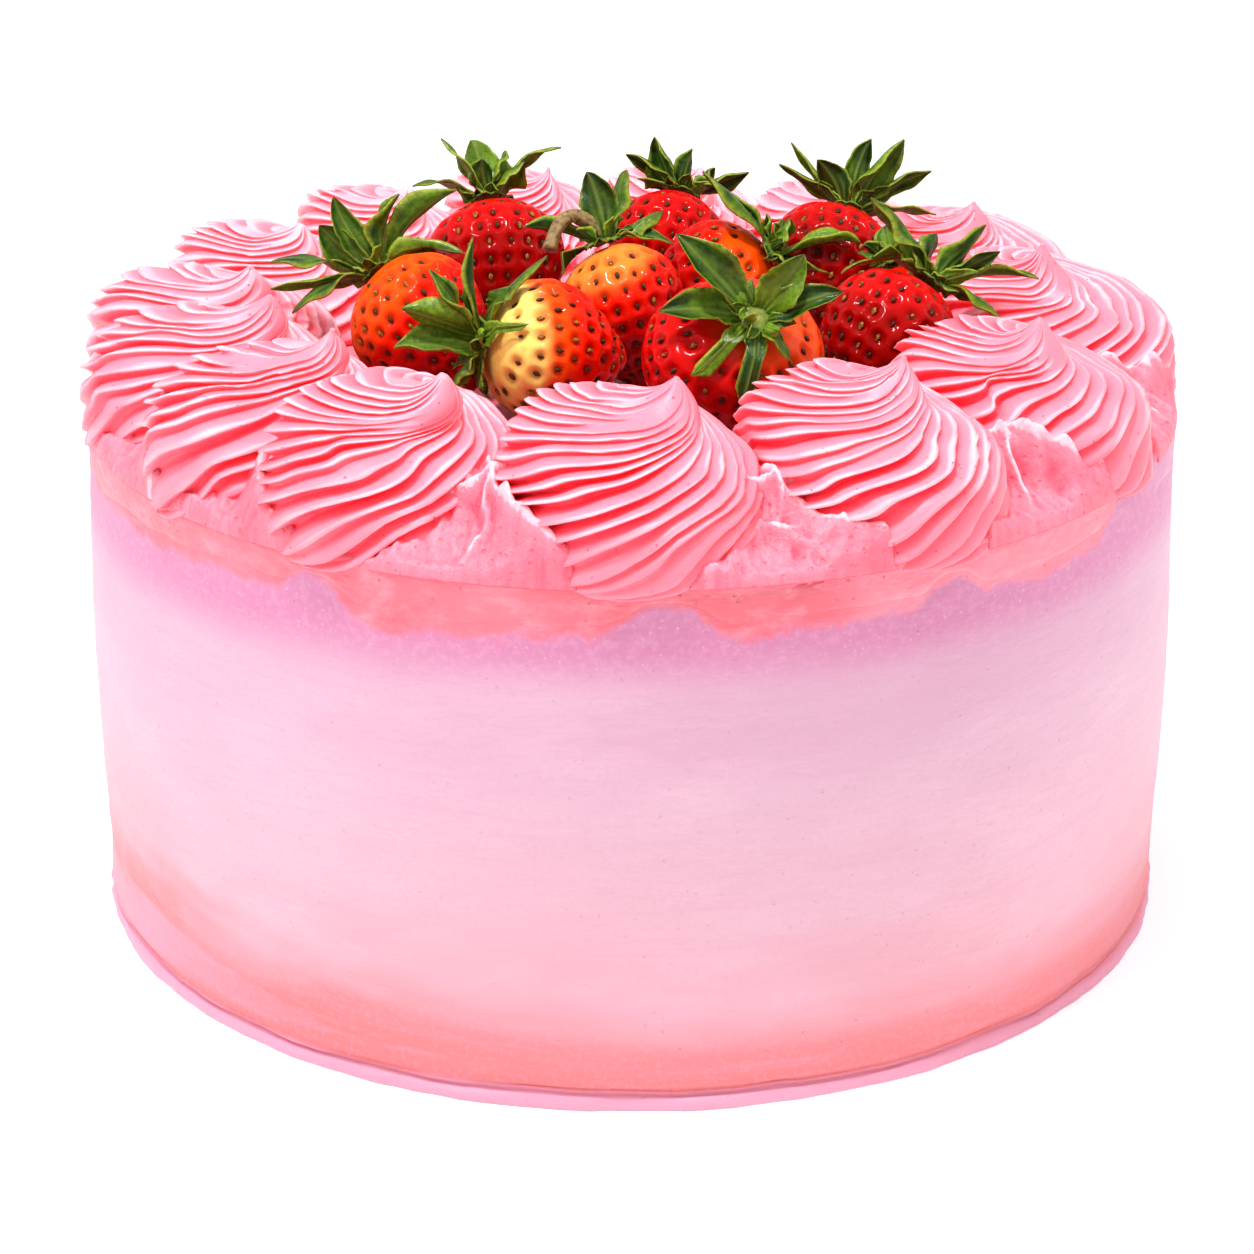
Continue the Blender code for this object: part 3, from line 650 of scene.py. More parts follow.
def leaf_skin():
    finish = Finish("leaf_skin", 0.42, 0.15, 0.03, SCATTER_LEAF, coat=0.05)
    mottle = finish.noise(900, 3, 0.65)
    vein = finish.field("vein")
    base = finish.field("colour", "Color")
    base = finish.patches(base, LEAF_MOTTLE, mottle, 0.40, 0.66, 0.75, "MULTIPLY")
    finish.colour(finish.blend(finish.sums("MULTIPLY", vein, 0.5), base, LEAF_VEIN))
    finish.roughness(finish.span(mottle, 0.3, 0.7, 0.26, 0.45))
    finish.relief(
        (vein, -0.0005, 0.9),
        (finish.noise(1800, 1), 0.00012, 0.6),
    )
    return finish.material


def stalk_skin():
    finish = Finish("stalk_skin", 0.6, 0.4)
    along = finish.noise(900, 4, 0.6)
    finish.colour(finish.ramp(along, STALK_STOPS))
    finish.relief((along, 0.0003, 0.8))
    return finish.material


# The iced wall and the pink layer on top.

COLUMNS_ROUND = 560
WALL_ROWS = 76
RIM_ROWS, PIPED_ROWS, MIDDLE_ROWS = 18, 26, 22

# The pink layer comes down the wall at least this far, and so does its colour.
LINE_DEPTH_LEAST = 0.0030
SMEAR_DEPTH_LEAST = 0.0012

# The hidden ends of the wall and of the pink layer reach in to these shares of the wall's radius.
WALL_INNER, LAYER_INNER = 0.93, 0.90

# How uneven the icing is, in layers for layered_noise. The sunk values make room for its bumps.
WALL_WAVES = ((0.00035, 0.03, 3, 1.6, 11), (0.00012, 0.006, 3, 2.5, 12))
WALL_SUNK = 0.00045
FOOT_WAVES = ((0.0004, 0.004, 3, 0.3, 13), (0.0005, 0.013, 1, 0.2, 14))
FOOT_SUNK = 0.0006
CREASE_WAVES = ((0.0012, 0.016, 3, 0, 15),)
LAYER_WAVES = ((0.0003, 0.02, 3, 1, 22), (0.00015, 0.004, 3, 1, 23))
LAYER_SUNK = 0.0002
SMEAR_WAVES = ((0.0011, 0.011, 3, 1, 31),)
TOP_RELIEF, TOP_RELIEF_CELL = 0.0007, 0.006
TOP_RELIEF_REACH, TOP_RELIEF_EASE = 0.106, 0.004

# The rounded lower edge of the pink layer: how far its first points lie behind the wall's face, how far the
# innermost one is raised, and how far the layer draws back just above its edge.
LIP_INSETS = (0.0014, 0.0009)
LIP_RISE = 0.0004
LIP_SLOPE = 0.0008

# The foot of the wall from below, with its bead and crease: (radius, height as a share of the bead's).
FOOT_SHAPE = (
    (FOOT_BEAD_RADIUS - 0.0010, 0.0), (FOOT_BEAD_RADIUS - 0.0003, 0.10), (FOOT_BEAD_RADIUS, 0.35),
    (FOOT_BEAD_RADIUS - 0.0002, 0.6), (FOOT_BEAD_RADIUS - 0.0007, 0.82), (WALL_RADIUS - 0.0004, 0.95),
    (WALL_RADIUS - FOOT_CREASE_SHOWN, 1.08), (WALL_RADIUS - 0.8 * FOOT_CREASE_SHOWN, 1.22),
    (WALL_RADIUS - 0.0001, 1.27), (WALL_RADIUS + 0.0001, 1.32), (WALL_RADIUS - 0.0001, 1.40),
    (WALL_RADIUS - 0.0003, 1.52),
)


def layer_line(degrees):
    """How far under the top the pink layer ends on the wall."""
    angle = np.radians(degrees)
    depth = TOP_LAYER_DEPTH + sum(size * np.sin(n * angle + phase) for n, size, phase in LINE_WAVES)
    for at, half_width, rise in LINE_NOTCHES:
        apart = np.abs(turn_between(degrees, at))
        depth = depth - rise * smooth_step(1.2 * (1 - apart / half_width))
    return np.maximum(depth, LINE_DEPTH_LEAST)


def smear_line(degrees):
    """How far under the top the warm pink's colour ends, which gives way to lilac in some stretches."""
    depth = layer_line(degrees)
    for at, half_width, rise in LILAC_STRETCHES:
        apart = np.abs(turn_between(degrees, at))
        depth = depth - rise * smooth_step((half_width - apart) / 7)
    angle = np.radians(degrees)
    rim = WALL_RADIUS * np.stack([np.cos(angle), np.sin(angle), 0 * angle], -1)
    return np.maximum(depth + layered_noise(rim, SMEAR_WAVES), SMEAR_DEPTH_LEAST)


def wall_radius(height):
    return WALL_RADIUS + WALL_BULGE * np.sin(np.pi * np.clip(height / TOP_HEIGHT, 0, 1))


def round_rows(radii, heights):
    """Rows of points round the cake from a radius and a height for each row, or for each of its points."""
    angle = np.radians(np.linspace(0, 360, COLUMNS_ROUND, endpoint=False))
    places = (radii * np.cos(angle), radii * np.sin(angle), heights)
    return np.stack(np.broadcast_arrays(*places), axis=-1)


def cake_fields(rows):
    """Height as a share of the wall's, and millimetres under the pink layer's edge, at each point."""
    degrees = np.degrees(np.arctan2(rows[..., 1], rows[..., 0]))
    edge = TOP_HEIGHT - smear_line(degrees)
    outer = np.hypot(rows[..., 0], rows[..., 1]) > LAYER_INNER * WALL_RADIUS
    below = np.where(outer, (edge - rows[..., 2]) / MM, -9)
    height = rows[..., 2] / TOP_HEIGHT
    coral = CORAL_RISE * bell(turn_between(degrees, CORAL_SIDE) / CORAL_SPREAD)
    coral = coral * smooth_step((height - CORAL_FROM) / 0.06) * smooth_step((0.5 - height) / 0.3)
    tint = np.maximum(height - coral, np.minimum(height, CORAL_FROM))
    return {"height": height, "tint_height": tint, "below_line": below}


def push_outward(rows, amount):
    """Points moved away from the cake's middle line."""
    return rows + unit(rows * (1, 1, 0)) * amount[..., None]


def make_wall(finish):
    above = np.linspace(1.75 * FOOT_BEAD_SHOWN, TOP_HEIGHT - 0.21 * TOP_LAYER_DEPTH, WALL_ROWS)
    radii, heights = np.array(FOOT_SHAPE).T
    radii = np.concatenate([radii, wall_radius(above)])[:, None]
    heights = np.concatenate([heights * FOOT_BEAD_SHOWN, above])[:, None]
    beads = heights / FOOT_BEAD_SHOWN
    rows = round_rows(radii, heights)
    wave = layered_noise(rows, WALL_WAVES) - WALL_SUNK
    rows = push_outward(rows, wave * np.clip(beads / 3, 0, 1) ** 2)
    ragged = layered_noise(rows, FOOT_WAVES) - FOOT_SUNK
    rows = push_outward(rows, ragged * bell((beads - 0.5) / 0.6))
    rows[..., 2] += layered_noise(rows, CREASE_WAVES) * bell((beads - 1.2) / 0.4)
    rows = np.concatenate([rows, rows[-1:] * (WALL_INNER, WALL_INNER, 1)])
    add_solid("icing_wall", rows, finish, cake_fields(rows), "cake_body")


def top_shape():
    """The pink layer's radius and height at each point, from its underside over the edge to the middle."""
    degrees = np.linspace(0, 360, COLUMNS_ROUND, endpoint=False)
    nothing = np.zeros(COLUMNS_ROUND)
    wander = 0.0007 * rough_noise(np.stack([degrees / 360, nothing, nothing], -1), 0.01, 21)
    edge = TOP_HEIGHT - layer_line(degrees) + wander
    shoulder = TOP_HEIGHT - TOP_EDGE_ROUNDING
    shape = [
        (LAYER_INNER * WALL_RADIUS, TOP_HEIGHT - TOP_LAYER_DEPTH),
        (wall_radius(edge) - LIP_INSETS[0], edge + LIP_RISE),
        (wall_radius(edge) - LIP_INSETS[1], edge),
    ]
    for share in np.linspace(0, 1, RIM_ROWS) ** 1.3:
        height = edge + 0.0003 + (shoulder - edge - 0.0003) * share
        shape.append((wall_radius(height) - LIP_SLOPE * (1 - smooth_step(share * 2.5)), height))
    for turn in np.radians((18, 36, 54, 72, 90)):
        inset = TOP_EDGE_ROUNDING * (1 - math.cos(turn))
        shape.append((WALL_RADIUS - inset, shoulder + TOP_EDGE_ROUNDING * math.sin(turn)))
    under_swirls = np.linspace(WALL_RADIUS - 1.4 * TOP_EDGE_ROUNDING, 0.0820, PIPED_ROWS)
    for radius in (*under_swirls, *np.linspace(0.078, 0.004, MIDDLE_ROWS)):
        shape.append((radius, TOP_HEIGHT))
    return (np.array([value + nothing for value in values]) for values in zip(*shape))


def make_top(finish):
    rows = round_rows(*top_shape())
    flat = smooth_step((rows[..., 2] - TOP_HEIGHT + TOP_EDGE_ROUNDING) / TOP_EDGE_ROUNDING)
    rows = push_outward(rows, (layered_noise(rows, LAYER_WAVES) - LAYER_SUNK) * (1 - flat))
    inside = smooth_step((TOP_RELIEF_REACH - np.hypot(rows[..., 0], rows[..., 1])) / TOP_RELIEF_EASE)
    rows[..., 2] += TOP_RELIEF * (1 + rough_noise(rows, TOP_RELIEF_CELL, 24)) * inside * flat
    add_solid("icing_top", rows, finish, cake_fields(rows), "top_layer")


# The strawberries, whose shape the swirls and leaves keep clear of.

BERRY_COLUMNS, BERRY_ROWS = 132, 80
CROWN_AT = 0.46
SEED_LENGTH, SEED_WIDTH, SEED_HEIGHT = 0.0016, 0.0009, 0.0007
SEED_LEVELS, SEED_TURNS = 4, 7
SEED_SPACING = 0.0043
SEED_SUNK = 0.0010
SEEDS_FROM, SEEDS_TO = 0.10, 0.97
DIMPLE_RADIUS, DIMPLE_DEPTH = 0.0015, 0.0010
BERRY_LUMPS, BERRY_LUMP_CELL = 0.0005, 0.011
BERRY_SUNK = 0.0004

# A strawberry's colour is darker in its dimples as painted shade, a little redder and lighter between them as
# painted light, and dark near the icing as painted shade.
DIMPLE_SHADE = np.array((0.33, 0.55, 0.55))
BULGE_PAINTED_LIGHT = np.array((0.06, 0.004, 0.0))
FOOT_SHADE_LEFT, FOOT_SHADE_FROM, FOOT_SHADE_EASE = 0.34, 0.003, 0.018


class Berry:
    """A strawberry's shape and place, with points along its length and round its axis."""

    def __init__(self, name, centre, width, length, flatness, direction, leaves):
        self.name = name
        self.radius = width * MM / 2
        self.length = length * MM
        self.axis = unit(np.array(direction, float))
        self.centre = np.array(centre) * MM + (0, 0, TOP_HEIGHT)
        self.crown = self.centre - self.axis * self.length * CROWN_AT
        self.leaves = leaves
        self.flatness = flatness
        self.side = unit(np.cross(self.axis, (0, 0, 1)))
        self.other = np.cross(self.axis, self.side)

    def rim(self, angle, flatness=1.0):
        """The way out from the axis at an angle round it, which may be an array."""
        return np.cos(angle)[..., None] * self.side + (np.sin(angle) * flatness)[..., None] * self.other

    def radius_at(self, share):
        """The radius at a share of the length, from the leaves to the tip."""
        inside = np.clip(share, 0, 1)
        return self.radius * np.maximum(np.sin(np.pi * inside ** 0.72), 0) ** 0.66

    def point(self, share, angle):
        along = np.asarray(share)[..., None] * self.length * self.axis
        return self.crown + along + self.rim(angle, self.flatness) * self.radius_at(share)[..., None]

    def depth(self, points, clearance):
        """How deep points lie inside the berry grown by a clearance, and which way is out of it."""
        offset = points - self.crown
        along = offset @ self.axis
        out = offset - along[..., None] * self.axis
        length = np.linalg.norm(out, axis=-1)
        stretch = np.hypot(out @ self.side, out @ self.other / self.flatness)
        narrow = length / np.maximum(stretch, 1e-9)
        share, margin = along / self.length, clearance / self.length
        near = np.maximum.reduce([self.radius_at(share + k * margin) for k in (-1, 0, 1)])
        inside = (share > -margin) & (share < 1 + margin)
        return np.where(inside, near * narrow + clearance - length, -1.0), along, out

    def push_out(self, points, clearance):
        """Points moved straight out of the berry where they lie inside."""
        depth, along, out = self.depth(points, clearance)
        near_crown = along < 0.1 * self.length
        sideways = unit(out) * depth[..., None]
        lifted = -self.axis * (along + clearance)[..., None]
        move = np.where(near_crown[..., None], lifted, sideways)
        return points + np.where((depth > 0)[..., None], move, 0)


def seed_places(berry):
    """Places of the seeds: rows round the berry, closer together towards the tip."""
    rng = random.Random("seeds" + berry.name)
    places = []
    share = SEEDS_FROM
    row = 0
    while share < SEEDS_TO:
        spacing = SEED_SPACING * (1 - 0.35 * float(smooth_step((share - 0.55) / 0.4)))
        count = max(1, round(2 * math.pi * float(berry.radius_at(share)) / spacing))
        for k in range(count):
            angle = 2 * math.pi * (k + 0.5 * (row % 2) + rng.uniform(-0.14, 0.14)) / count
            places.append((share + rng.uniform(-0.012, 0.012), angle, rng.uniform(0.85, 1.15)))
        share += spacing * 0.86 / berry.length
        row += 1
    return places


def berry_colour(berry, rows, share):
    """Colours at the points of a berry, running from the leaves to the tip and further on its pale side."""
    shoulder, middle, tip, reach, side = BERRY_COLOURS[berry.name]
    patch = lattice_noise(rows, 0.009, int(berry.name) + 70)
    toward = unit(rows - berry.centre) @ unit(np.array(side, float))
    place = share - 0.28 * toward + 0.06 * patch - reach
    colour = mix(shoulder, middle, smooth_step((place + 0.12) / 0.24))
    return mix(colour, tip, smooth_step((place - 0.12) / 0.35))


def make_berry(berry, finish, seeds):
    """A dimpled strawberry; the places of its seeds go on the list of seeds."""
    share = 0.004 + 0.992 * (1 - np.cos(np.linspace(0, np.pi, BERRY_ROWS))) / 2
    angle = np.linspace(0, 2 * np.pi, BERRY_COLUMNS, endpoint=False)
    share, angle = np.meshgrid(share, angle, indexing="ij")
    rows = berry.point(share, angle)
    normal = unit(np.cross(np.roll(rows, -1, 1) - np.roll(rows, 1, 1), np.gradient(rows, axis=0)))
    lumps = BERRY_LUMPS * lattice_noise(rows, BERRY_LUMP_CELL, int(berry.name) + 40)
    rows = rows - normal * (BERRY_SUNK - lumps)[..., None]
    sink = np.zeros(share.shape)
    for place, turn, size in seed_places(berry):
        middle = berry.point(np.array(place), np.array(turn))
        near = np.linalg.norm(rows - middle, axis=-1) / (DIMPLE_RADIUS * size)
        sink = np.maximum(sink, np.exp(-(near ** 3) * 1.2))
        row = int(np.argmin(np.abs(share[:, 0] - place)))
        column = round(turn / (2 * np.pi) * BERRY_COLUMNS) % BERRY_COLUMNS
        out = normal[row, column]
        seeds.append((middle - out * SEED_SUNK, out, unit(berry.axis - out * (berry.axis @ out)), size))
    rows = rows - normal * (DIMPLE_DEPTH * sink)[..., None]
    # Painted shade in the dimples and painted light on the bulges between them.
    colour = berry_colour(berry, rows, share) * (1 - DIMPLE_SHADE * sink[..., None])
    colour = colour + BULGE_PAINTED_LIGHT * (smooth_step(0.3 - sink) * (1 - sink))[..., None]
    # Painted shade, darker the nearer a point lies to the icing.
    risen = smooth_step((rows[..., 2] - TOP_HEIGHT - FOOT_SHADE_FROM) / FOOT_SHADE_EASE)
    colour = colour * (FOOT_SHADE_LEFT + (1 - FOOT_SHADE_LEFT) * risen)[..., None]
    fields = {"colour": colour}
    add_solid("fruit_" + berry.name, rows, finish, fields, "strawberry_" + berry.name)


def make_seeds(seeds, finish):
    """Every seed of every strawberry, as small drops lying in their dimples."""
    rng = random.Random(5)
    share = ((np.arange(SEED_LEVELS) + 0.5) / SEED_LEVELS)[:, None, None]
    wide = np.sin(np.pi * share ** 0.8) ** 0.8 / 2
    angle = (2 * np.pi * np.arange(SEED_TURNS) / SEED_TURNS)[:, None]
    count = SEED_LEVELS * SEED_TURNS + 2
    points, faces, colours = [], [], []
    for middle, normal, along, size in seeds:
        ring = np.cross(normal, along) * np.cos(angle) * SEED_WIDTH + normal * np.sin(angle) * SEED_HEIGHT
        length = along * SEED_LENGTH * size
        drop = middle + length * (share - 0.5) + ring * wide * size
        colours += [SEED_PALE if rng.random() > 0.65 else SEED_DARK] * count
        faces += closed_faces(SEED_LEVELS, SEED_TURNS, len(points) * count)
        points.append(np.concatenate([drop.reshape(-1, 3), [middle - length / 2, middle + length / 2]]))
    points = np.concatenate(points)
    add_piece("berry_seeds", points, faces, finish, {"colour": colours})


# The piped swirls.

# Ridges wander sideways, in radians, and vary in depth, as a share of it. They start shallow at the foot, are
# full from one share of the way up on and fade from another.
RIDGE_WANDER, RIDGE_VARIETY = 0.15, 0.45
FOOT_RIDGES, FOOT_RIDGES_TO = 0.12, 0.26
TIP_SMOOTH_FROM = 0.86

# The surface's lumps, the tears along its crests, and how far it is sunk to make room for them.
SWIRL_LUMPS, SWIRL_LUMP_CELL = 0.0008, 0.009
CREST_TEARS, CREST_TEAR_CELL = 0.0003, 0.0022
SWIRL_SUNK = 0.0003

# How softly a swirl ends at the plane it shares with its neighbour, and how it steps back from the berries
# that are near it.
LIMIT_SOFTNESS = 0.0006
STEP_BACK = 0.0003
MOST_STEPS = 80
BERRY_NEAR = 0.055


class Swirl:
    """A swirl's place, its ridges and the planes that it shares with its neighbours."""

    def __init__(self, number, row, before, after):
        degrees, self.half_width, self.height, tip_x, tip_y = row
        angle = math.radians(degrees)
        self.number = number
        self.degrees = degrees
        self.outward = np.array((math.cos(angle), math.sin(angle)))
        self.along = np.array((-self.outward[1], self.outward[0]))
        self.foot = self.outward * SWIRL_RING_RADIUS
        self.tip = np.array((tip_x, tip_y))
        self.limits = []
        for neighbour, turn in ((before, 1), (after, -1)):
            middle = math.radians(degrees + turn_between(neighbour, degrees) / 2)
            self.limits.append(np.array((-math.sin(middle), math.cos(middle))) * turn)
        rng = random.Random(number)
        self.flutes = round(2 * math.pi * self.half_width / FLUTE_WIDTH)
        self.turn = rng.uniform(0, 2 * math.pi)
        self.twist = rng.uniform(0.95, 1.3)
        self.uneven = np.array([rng.uniform(0.6, 1.3) for _ in range(self.flutes)])
        self.spacing = np.array([rng.uniform(-0.22, 0.22) for _ in range(self.flutes)])
        self.fades = np.array([rng.choice(HOLLOW_ENDS) for _ in range(self.flutes)])
        # How much painted light pales this swirl's icing.
        self.pale = float(np.clip((self.foot @ PAINTED_LIGHT_TOWARD + 0.6) / 1.4, 0, 1))

    def surface(self):
        """Rows of points from the foot to the tip, how hollow and how near a crest each is, and its share."""
        share = np.linspace(0, 1, SWIRL_ROWS)[:, None]
        part, hollow = np.tile(np.array(FLUTE_SHAPE).T, self.flutes)[:, None, :]
        flute = np.repeat(np.arange(self.flutes), len(FLUTE_SHAPE))[None, :]
        ahead = (flute + 1) % self.flutes
        shift = self.spacing[flute] * (1 - part) + self.spacing[ahead] * part
        angle = self.turn + 2 * np.pi / self.flutes * (flute + part + shift)
        profile = curve_through(SWIRL_PROFILE, share * np.ones_like(angle))
        angle = angle + self.twist * np.radians(profile[..., 2])
        reach, rise = np.maximum(profile[..., 0], 0.02), profile[..., 1]
        bearing = np.stack([np.cos(angle), np.sin(angle), rise * 2], -1)
        angle = angle + RIDGE_WANDER * lattice_noise(bearing, 0.5, self.number + 200)
        along = np.stack(np.broadcast_arrays(flute * 1.7, share * 5, 0 * share), -1)
        depth = self.uneven[flute] * (1 + RIDGE_VARIETY * lattice_noise(along, 1.0, self.number + 220))
        depth = depth * (1 - smooth_step((share - TIP_SMOOTH_FROM) / (1 - TIP_SMOOTH_FROM)))
        depth = depth * (FOOT_RIDGES + (1 - FOOT_RIDGES) * smooth_step(share / FOOT_RIDGES_TO))
        depth = depth * smooth_step((reach - self.fades[flute] + 0.06) / 0.16)
        groove = FLUTE_DEPTH * 2 * np.pi / self.flutes * hollow * depth * reach
        shoulder = bell((reach - 0.6) / 0.35)
        middle = self.foot + SHOULDER_LEAN * (shoulder * smooth_step(rise * 1.3))[..., None]
        middle = middle + self.tip * smooth_step((0.95 - reach) / 0.93)[..., None]
        spread = (SWIRL_REACH * np.cos(angle))[..., None] * self.outward
        spread = spread + (self.half_width * np.sin(angle))[..., None] * self.along
        place = middle + spread * (reach - groove)[..., None]
        tilt = SHOULDER_TILT * shoulder * smooth_step(rise) * (unit(spread) @ unit(SHOULDER_LEAN))
        height = TOP_HEIGHT + rise * self.height + tilt - groove * self.height * 0.5 * smooth_step(rise)
        ridge = np.linalg.norm(middle + spread * reach[..., None], axis=-1)
        droop = RIM_DROOP * smooth_step((ridge - RIM_DROOP_FROM) / 0.0065) * (1 - smooth_step(rise / 0.45))
        rows = np.concatenate([place, (height - droop)[..., None]], axis=-1)
        crest = (1 - np.clip(hollow * 5, 0, 1)) * np.clip(depth, 0, 1)
        return rows, hollow ** 2.2 * depth, crest, share * np.ones_like(angle)

    def nearness(self, points):
        """How many times its own foot's reach flat points lie from the swirl's middle."""
        offset = points - self.foot
        return np.hypot(offset @ self.outward / SWIRL_REACH, offset @ self.along / self.half_width)

    def keep_clear(self, rows, berries):
        """Holds points near the rim, on their own side of the neighbouring swirls and off the berries."""
        reach = np.linalg.norm(rows[..., :2], axis=-1)
        over = np.maximum(reach - RIM_REACH, 0)
        rows[..., :2] *= (1 - 0.8 * over / reach)[..., None]
        for limit in self.limits:
            over = SWIRL_GAP - rows[..., :2] @ limit
            push = LIMIT_SOFTNESS * np.logaddexp(0, over / LIMIT_SOFTNESS)
            rows[..., :2] += push[..., None] * limit
        points = rows.reshape(-1, 3)
        step = unit((np.array((*self.foot, 0)) - points) * (1, 1, 0)) * STEP_BACK
        near = [berry for berry in berries if np.linalg.norm(berry.centre[:2] - self.foot) < BERRY_NEAR]
        for _ in range(MOST_STEPS):
            depths = [berry.depth(points, BERRY_CLEARANCE)[0] for berry in near]
            inside = np.max(depths, axis=0, initial=-1.0) > 0
            if not inside.any():
                break
            points[inside] += step[inside]
        return points.reshape(rows.shape)


def make_swirl(swirl, berries, finish):
    rows, hollow, crest, share = swirl.surface()
    out = unit(rows - np.array((*swirl.foot, TOP_HEIGHT + 0.2 * swirl.height)))
    lumps = SWIRL_LUMPS * lattice_noise(rows, SWIRL_LUMP_CELL, swirl.number + 100)
    torn = 1 + 2 * smooth_step(2 * lattice_noise(rows, SWIRL_LUMP_CELL, swirl.number + 145))
    tears = CREST_TEARS * crest * torn * rough_noise(rows, CREST_TEAR_CELL, swirl.number + 130)
    steady = smooth_step(share * 8) * (1 - smooth_step((share - 0.93) / 0.07))
    rows = rows + out * ((lumps + tears) * steady - SWIRL_SUNK)[..., None]
    rows = swirl.keep_clear(rows, berries)
    # Painted shade and light in the groove field: deeper pink in the hollows and low down, paler on the
    # crests, and paler on swirls across the cake where more light falls.
    low = 1 - np.clip((rows[..., 2] - TOP_HEIGHT) / swirl.height, 0, 1)
    patch = 0.08 * lattice_noise(rows, 0.007, swirl.number + 160)
    groove = 0.12 + 0.10 * low + patch + 0.88 * hollow - 0.18 * crest
    groove = groove * (1 - 0.40 * swirl.pale) - 0.03 * swirl.pale
    fields = {"groove": np.clip(groove, 0, 1)}
    name = f"swirl_{swirl.number:02d}"
    return add_solid("piped_" + name, rows, finish, fields, name)


# The torn icing between the swirls.

# A gap's patch of icing: half its width, and its distances from the cake's middle in millimetres, from its
# inner edge to where it bends down over the rim in a few rows.
GAP_HALF_WIDTH = 19
GAP_FROM, GAP_BEND = 84, 107.2
GAP_RIM = (107.7, 108.05, 108.2)
GAP_ROWS, GAP_COLUMNS = 53, 88
GAP_FLOOR = 0.0020

# How the ridges wander, in layers for layered_noise, and the rough icing between them in millimetres.
GAP_WANDER = ((1.0, 4.0, 1, 1, 0), (0.15, 1.4, 1, 1, 10))
BED_HEIGHT = 9.5
DRAG_HEIGHT = 1.15
PIT_DEPTH = 3.2
FINE_HEIGHT = 0.30

# How high the neighbouring swirls drag the icing up at the rim and further in, and how far from their feet,
# on the side to the left of a gap's middle as seen from the cake's and on the side to the right.
DRAGGED_LEFT = (7.0, 17.0, 0.34)
DRAGGED_RIGHT = (2.5, 6.0, 0.25)


def ridge_height(u, v, fall, line):
    """Height of a sharp ridge along a line of points, falling away on both sides, and how near its crest."""
    height, crest = np.zeros(u.shape), np.zeros(u.shape)
    for (u0, v0, h0), (u1, v1, h1) in zip(line, line[1:]):
        du, dv = u1 - u0, v1 - v0
        share = np.clip(((u - u0) * du + (v - v0) * dv) / (du * du + dv * dv), 0, 1)
        away = np.hypot(u - u0 - share * du, v - v0 - share * dv)
        here = (h0 + (h1 - h0) * share) * np.exp(-away / fall)
        crest = np.where(here > height, bell(away / 0.45), crest)
        height = np.maximum(height, here)
    return height, crest


def softened(values, times):
    for _ in range(times):
        wide = np.pad(values, 1, mode="edge")
        values = (wide[:-2, 1:-1] + wide[2:, 1:-1] + wide[1:-1, :-2] + wide[1:-1, 2:]) / 4
    return values


def gap_heights(number, u, v, flat, swirls):
    """Height of the torn icing above the top in millimetres, and how deep a pink it gets: painted shade where
    it lies sunk and where it is steep, deeper too with its drag marks.
    """
    at, kind = GAPS[number]
    spot = np.stack([u, v, 0 * u], -1)
    wander_u, wander_v = (layered_noise(spot, GAP_WANDER, number + seed) for seed in (400, 420))
    height, crest = np.zeros(u.shape), np.zeros(u.shape)
    for fall, line in GAP_KINDS[kind]:
        ridge, near = ridge_height(u + wander_u, v + wander_v, fall, line)
        crest = np.where(ridge > height, near, crest)
        height = np.maximum(height, ridge)
    inward = np.clip((107.5 - v) / 15, 0, 1)
    bed = BED_HEIGHT * inward ** 1.5 * (1 + 0.25 * lattice_noise(spot, 5, number + 440))
    patchy = 0.7 + 0.3 * lattice_noise(spot, 4.5, number + 450)
    side = np.zeros(u.shape)
    for swirl in swirls:
        low, high, wide = DRAGGED_LEFT if turn_between(swirl.degrees, at) > 0 else DRAGGED_RIGHT
        near = swirl.nearness(flat)
        close = np.clip(1 - (near - 0.97) / wide, 0, 1) ** 1.7 * smooth_step((near - 0.80) / 0.17)
        side = np.maximum(side, np.minimum(low + high * inward, 17) * patchy * close)
    base = np.maximum(bed, side)
    crest = crest * smooth_step(height - base)
    height = np.maximum(height, base)
    drag = rough_noise(spot * (1 / 0.8, 1 / 2.6, 1), 1.0, number + 460)
    pits = np.clip(rough_noise(spot, 1.3, number + 470, 2) - 0.35, 0, 1)
    steep = np.clip(np.hypot(*np.gradient(softened(height, 2))) / 0.9, 0, 1)
    height = height + 0.35 + DRAG_HEIGHT * drag * (1 - 0.6 * crest) * (1 - 0.4 * steep)
    height = height - PIT_DEPTH * pits * (1 - crest) * (1 - 0.5 * steep)
    height = softened(height, 1)
    fine = rough_noise(spot * (1, 0.6, 1), 1.1, number + 480, 2)
    height = height + FINE_HEIGHT * fine * (1 - 0.5 * crest)
    # Painted shade: deeper pink where the icing lies sunk under its surroundings and where it is steep.
    sunk = softened(height, 14) - height
    return height, np.clip(0.34 + 0.50 * sunk + 0.26 * drag + 0.20 * steep, 0, 1)


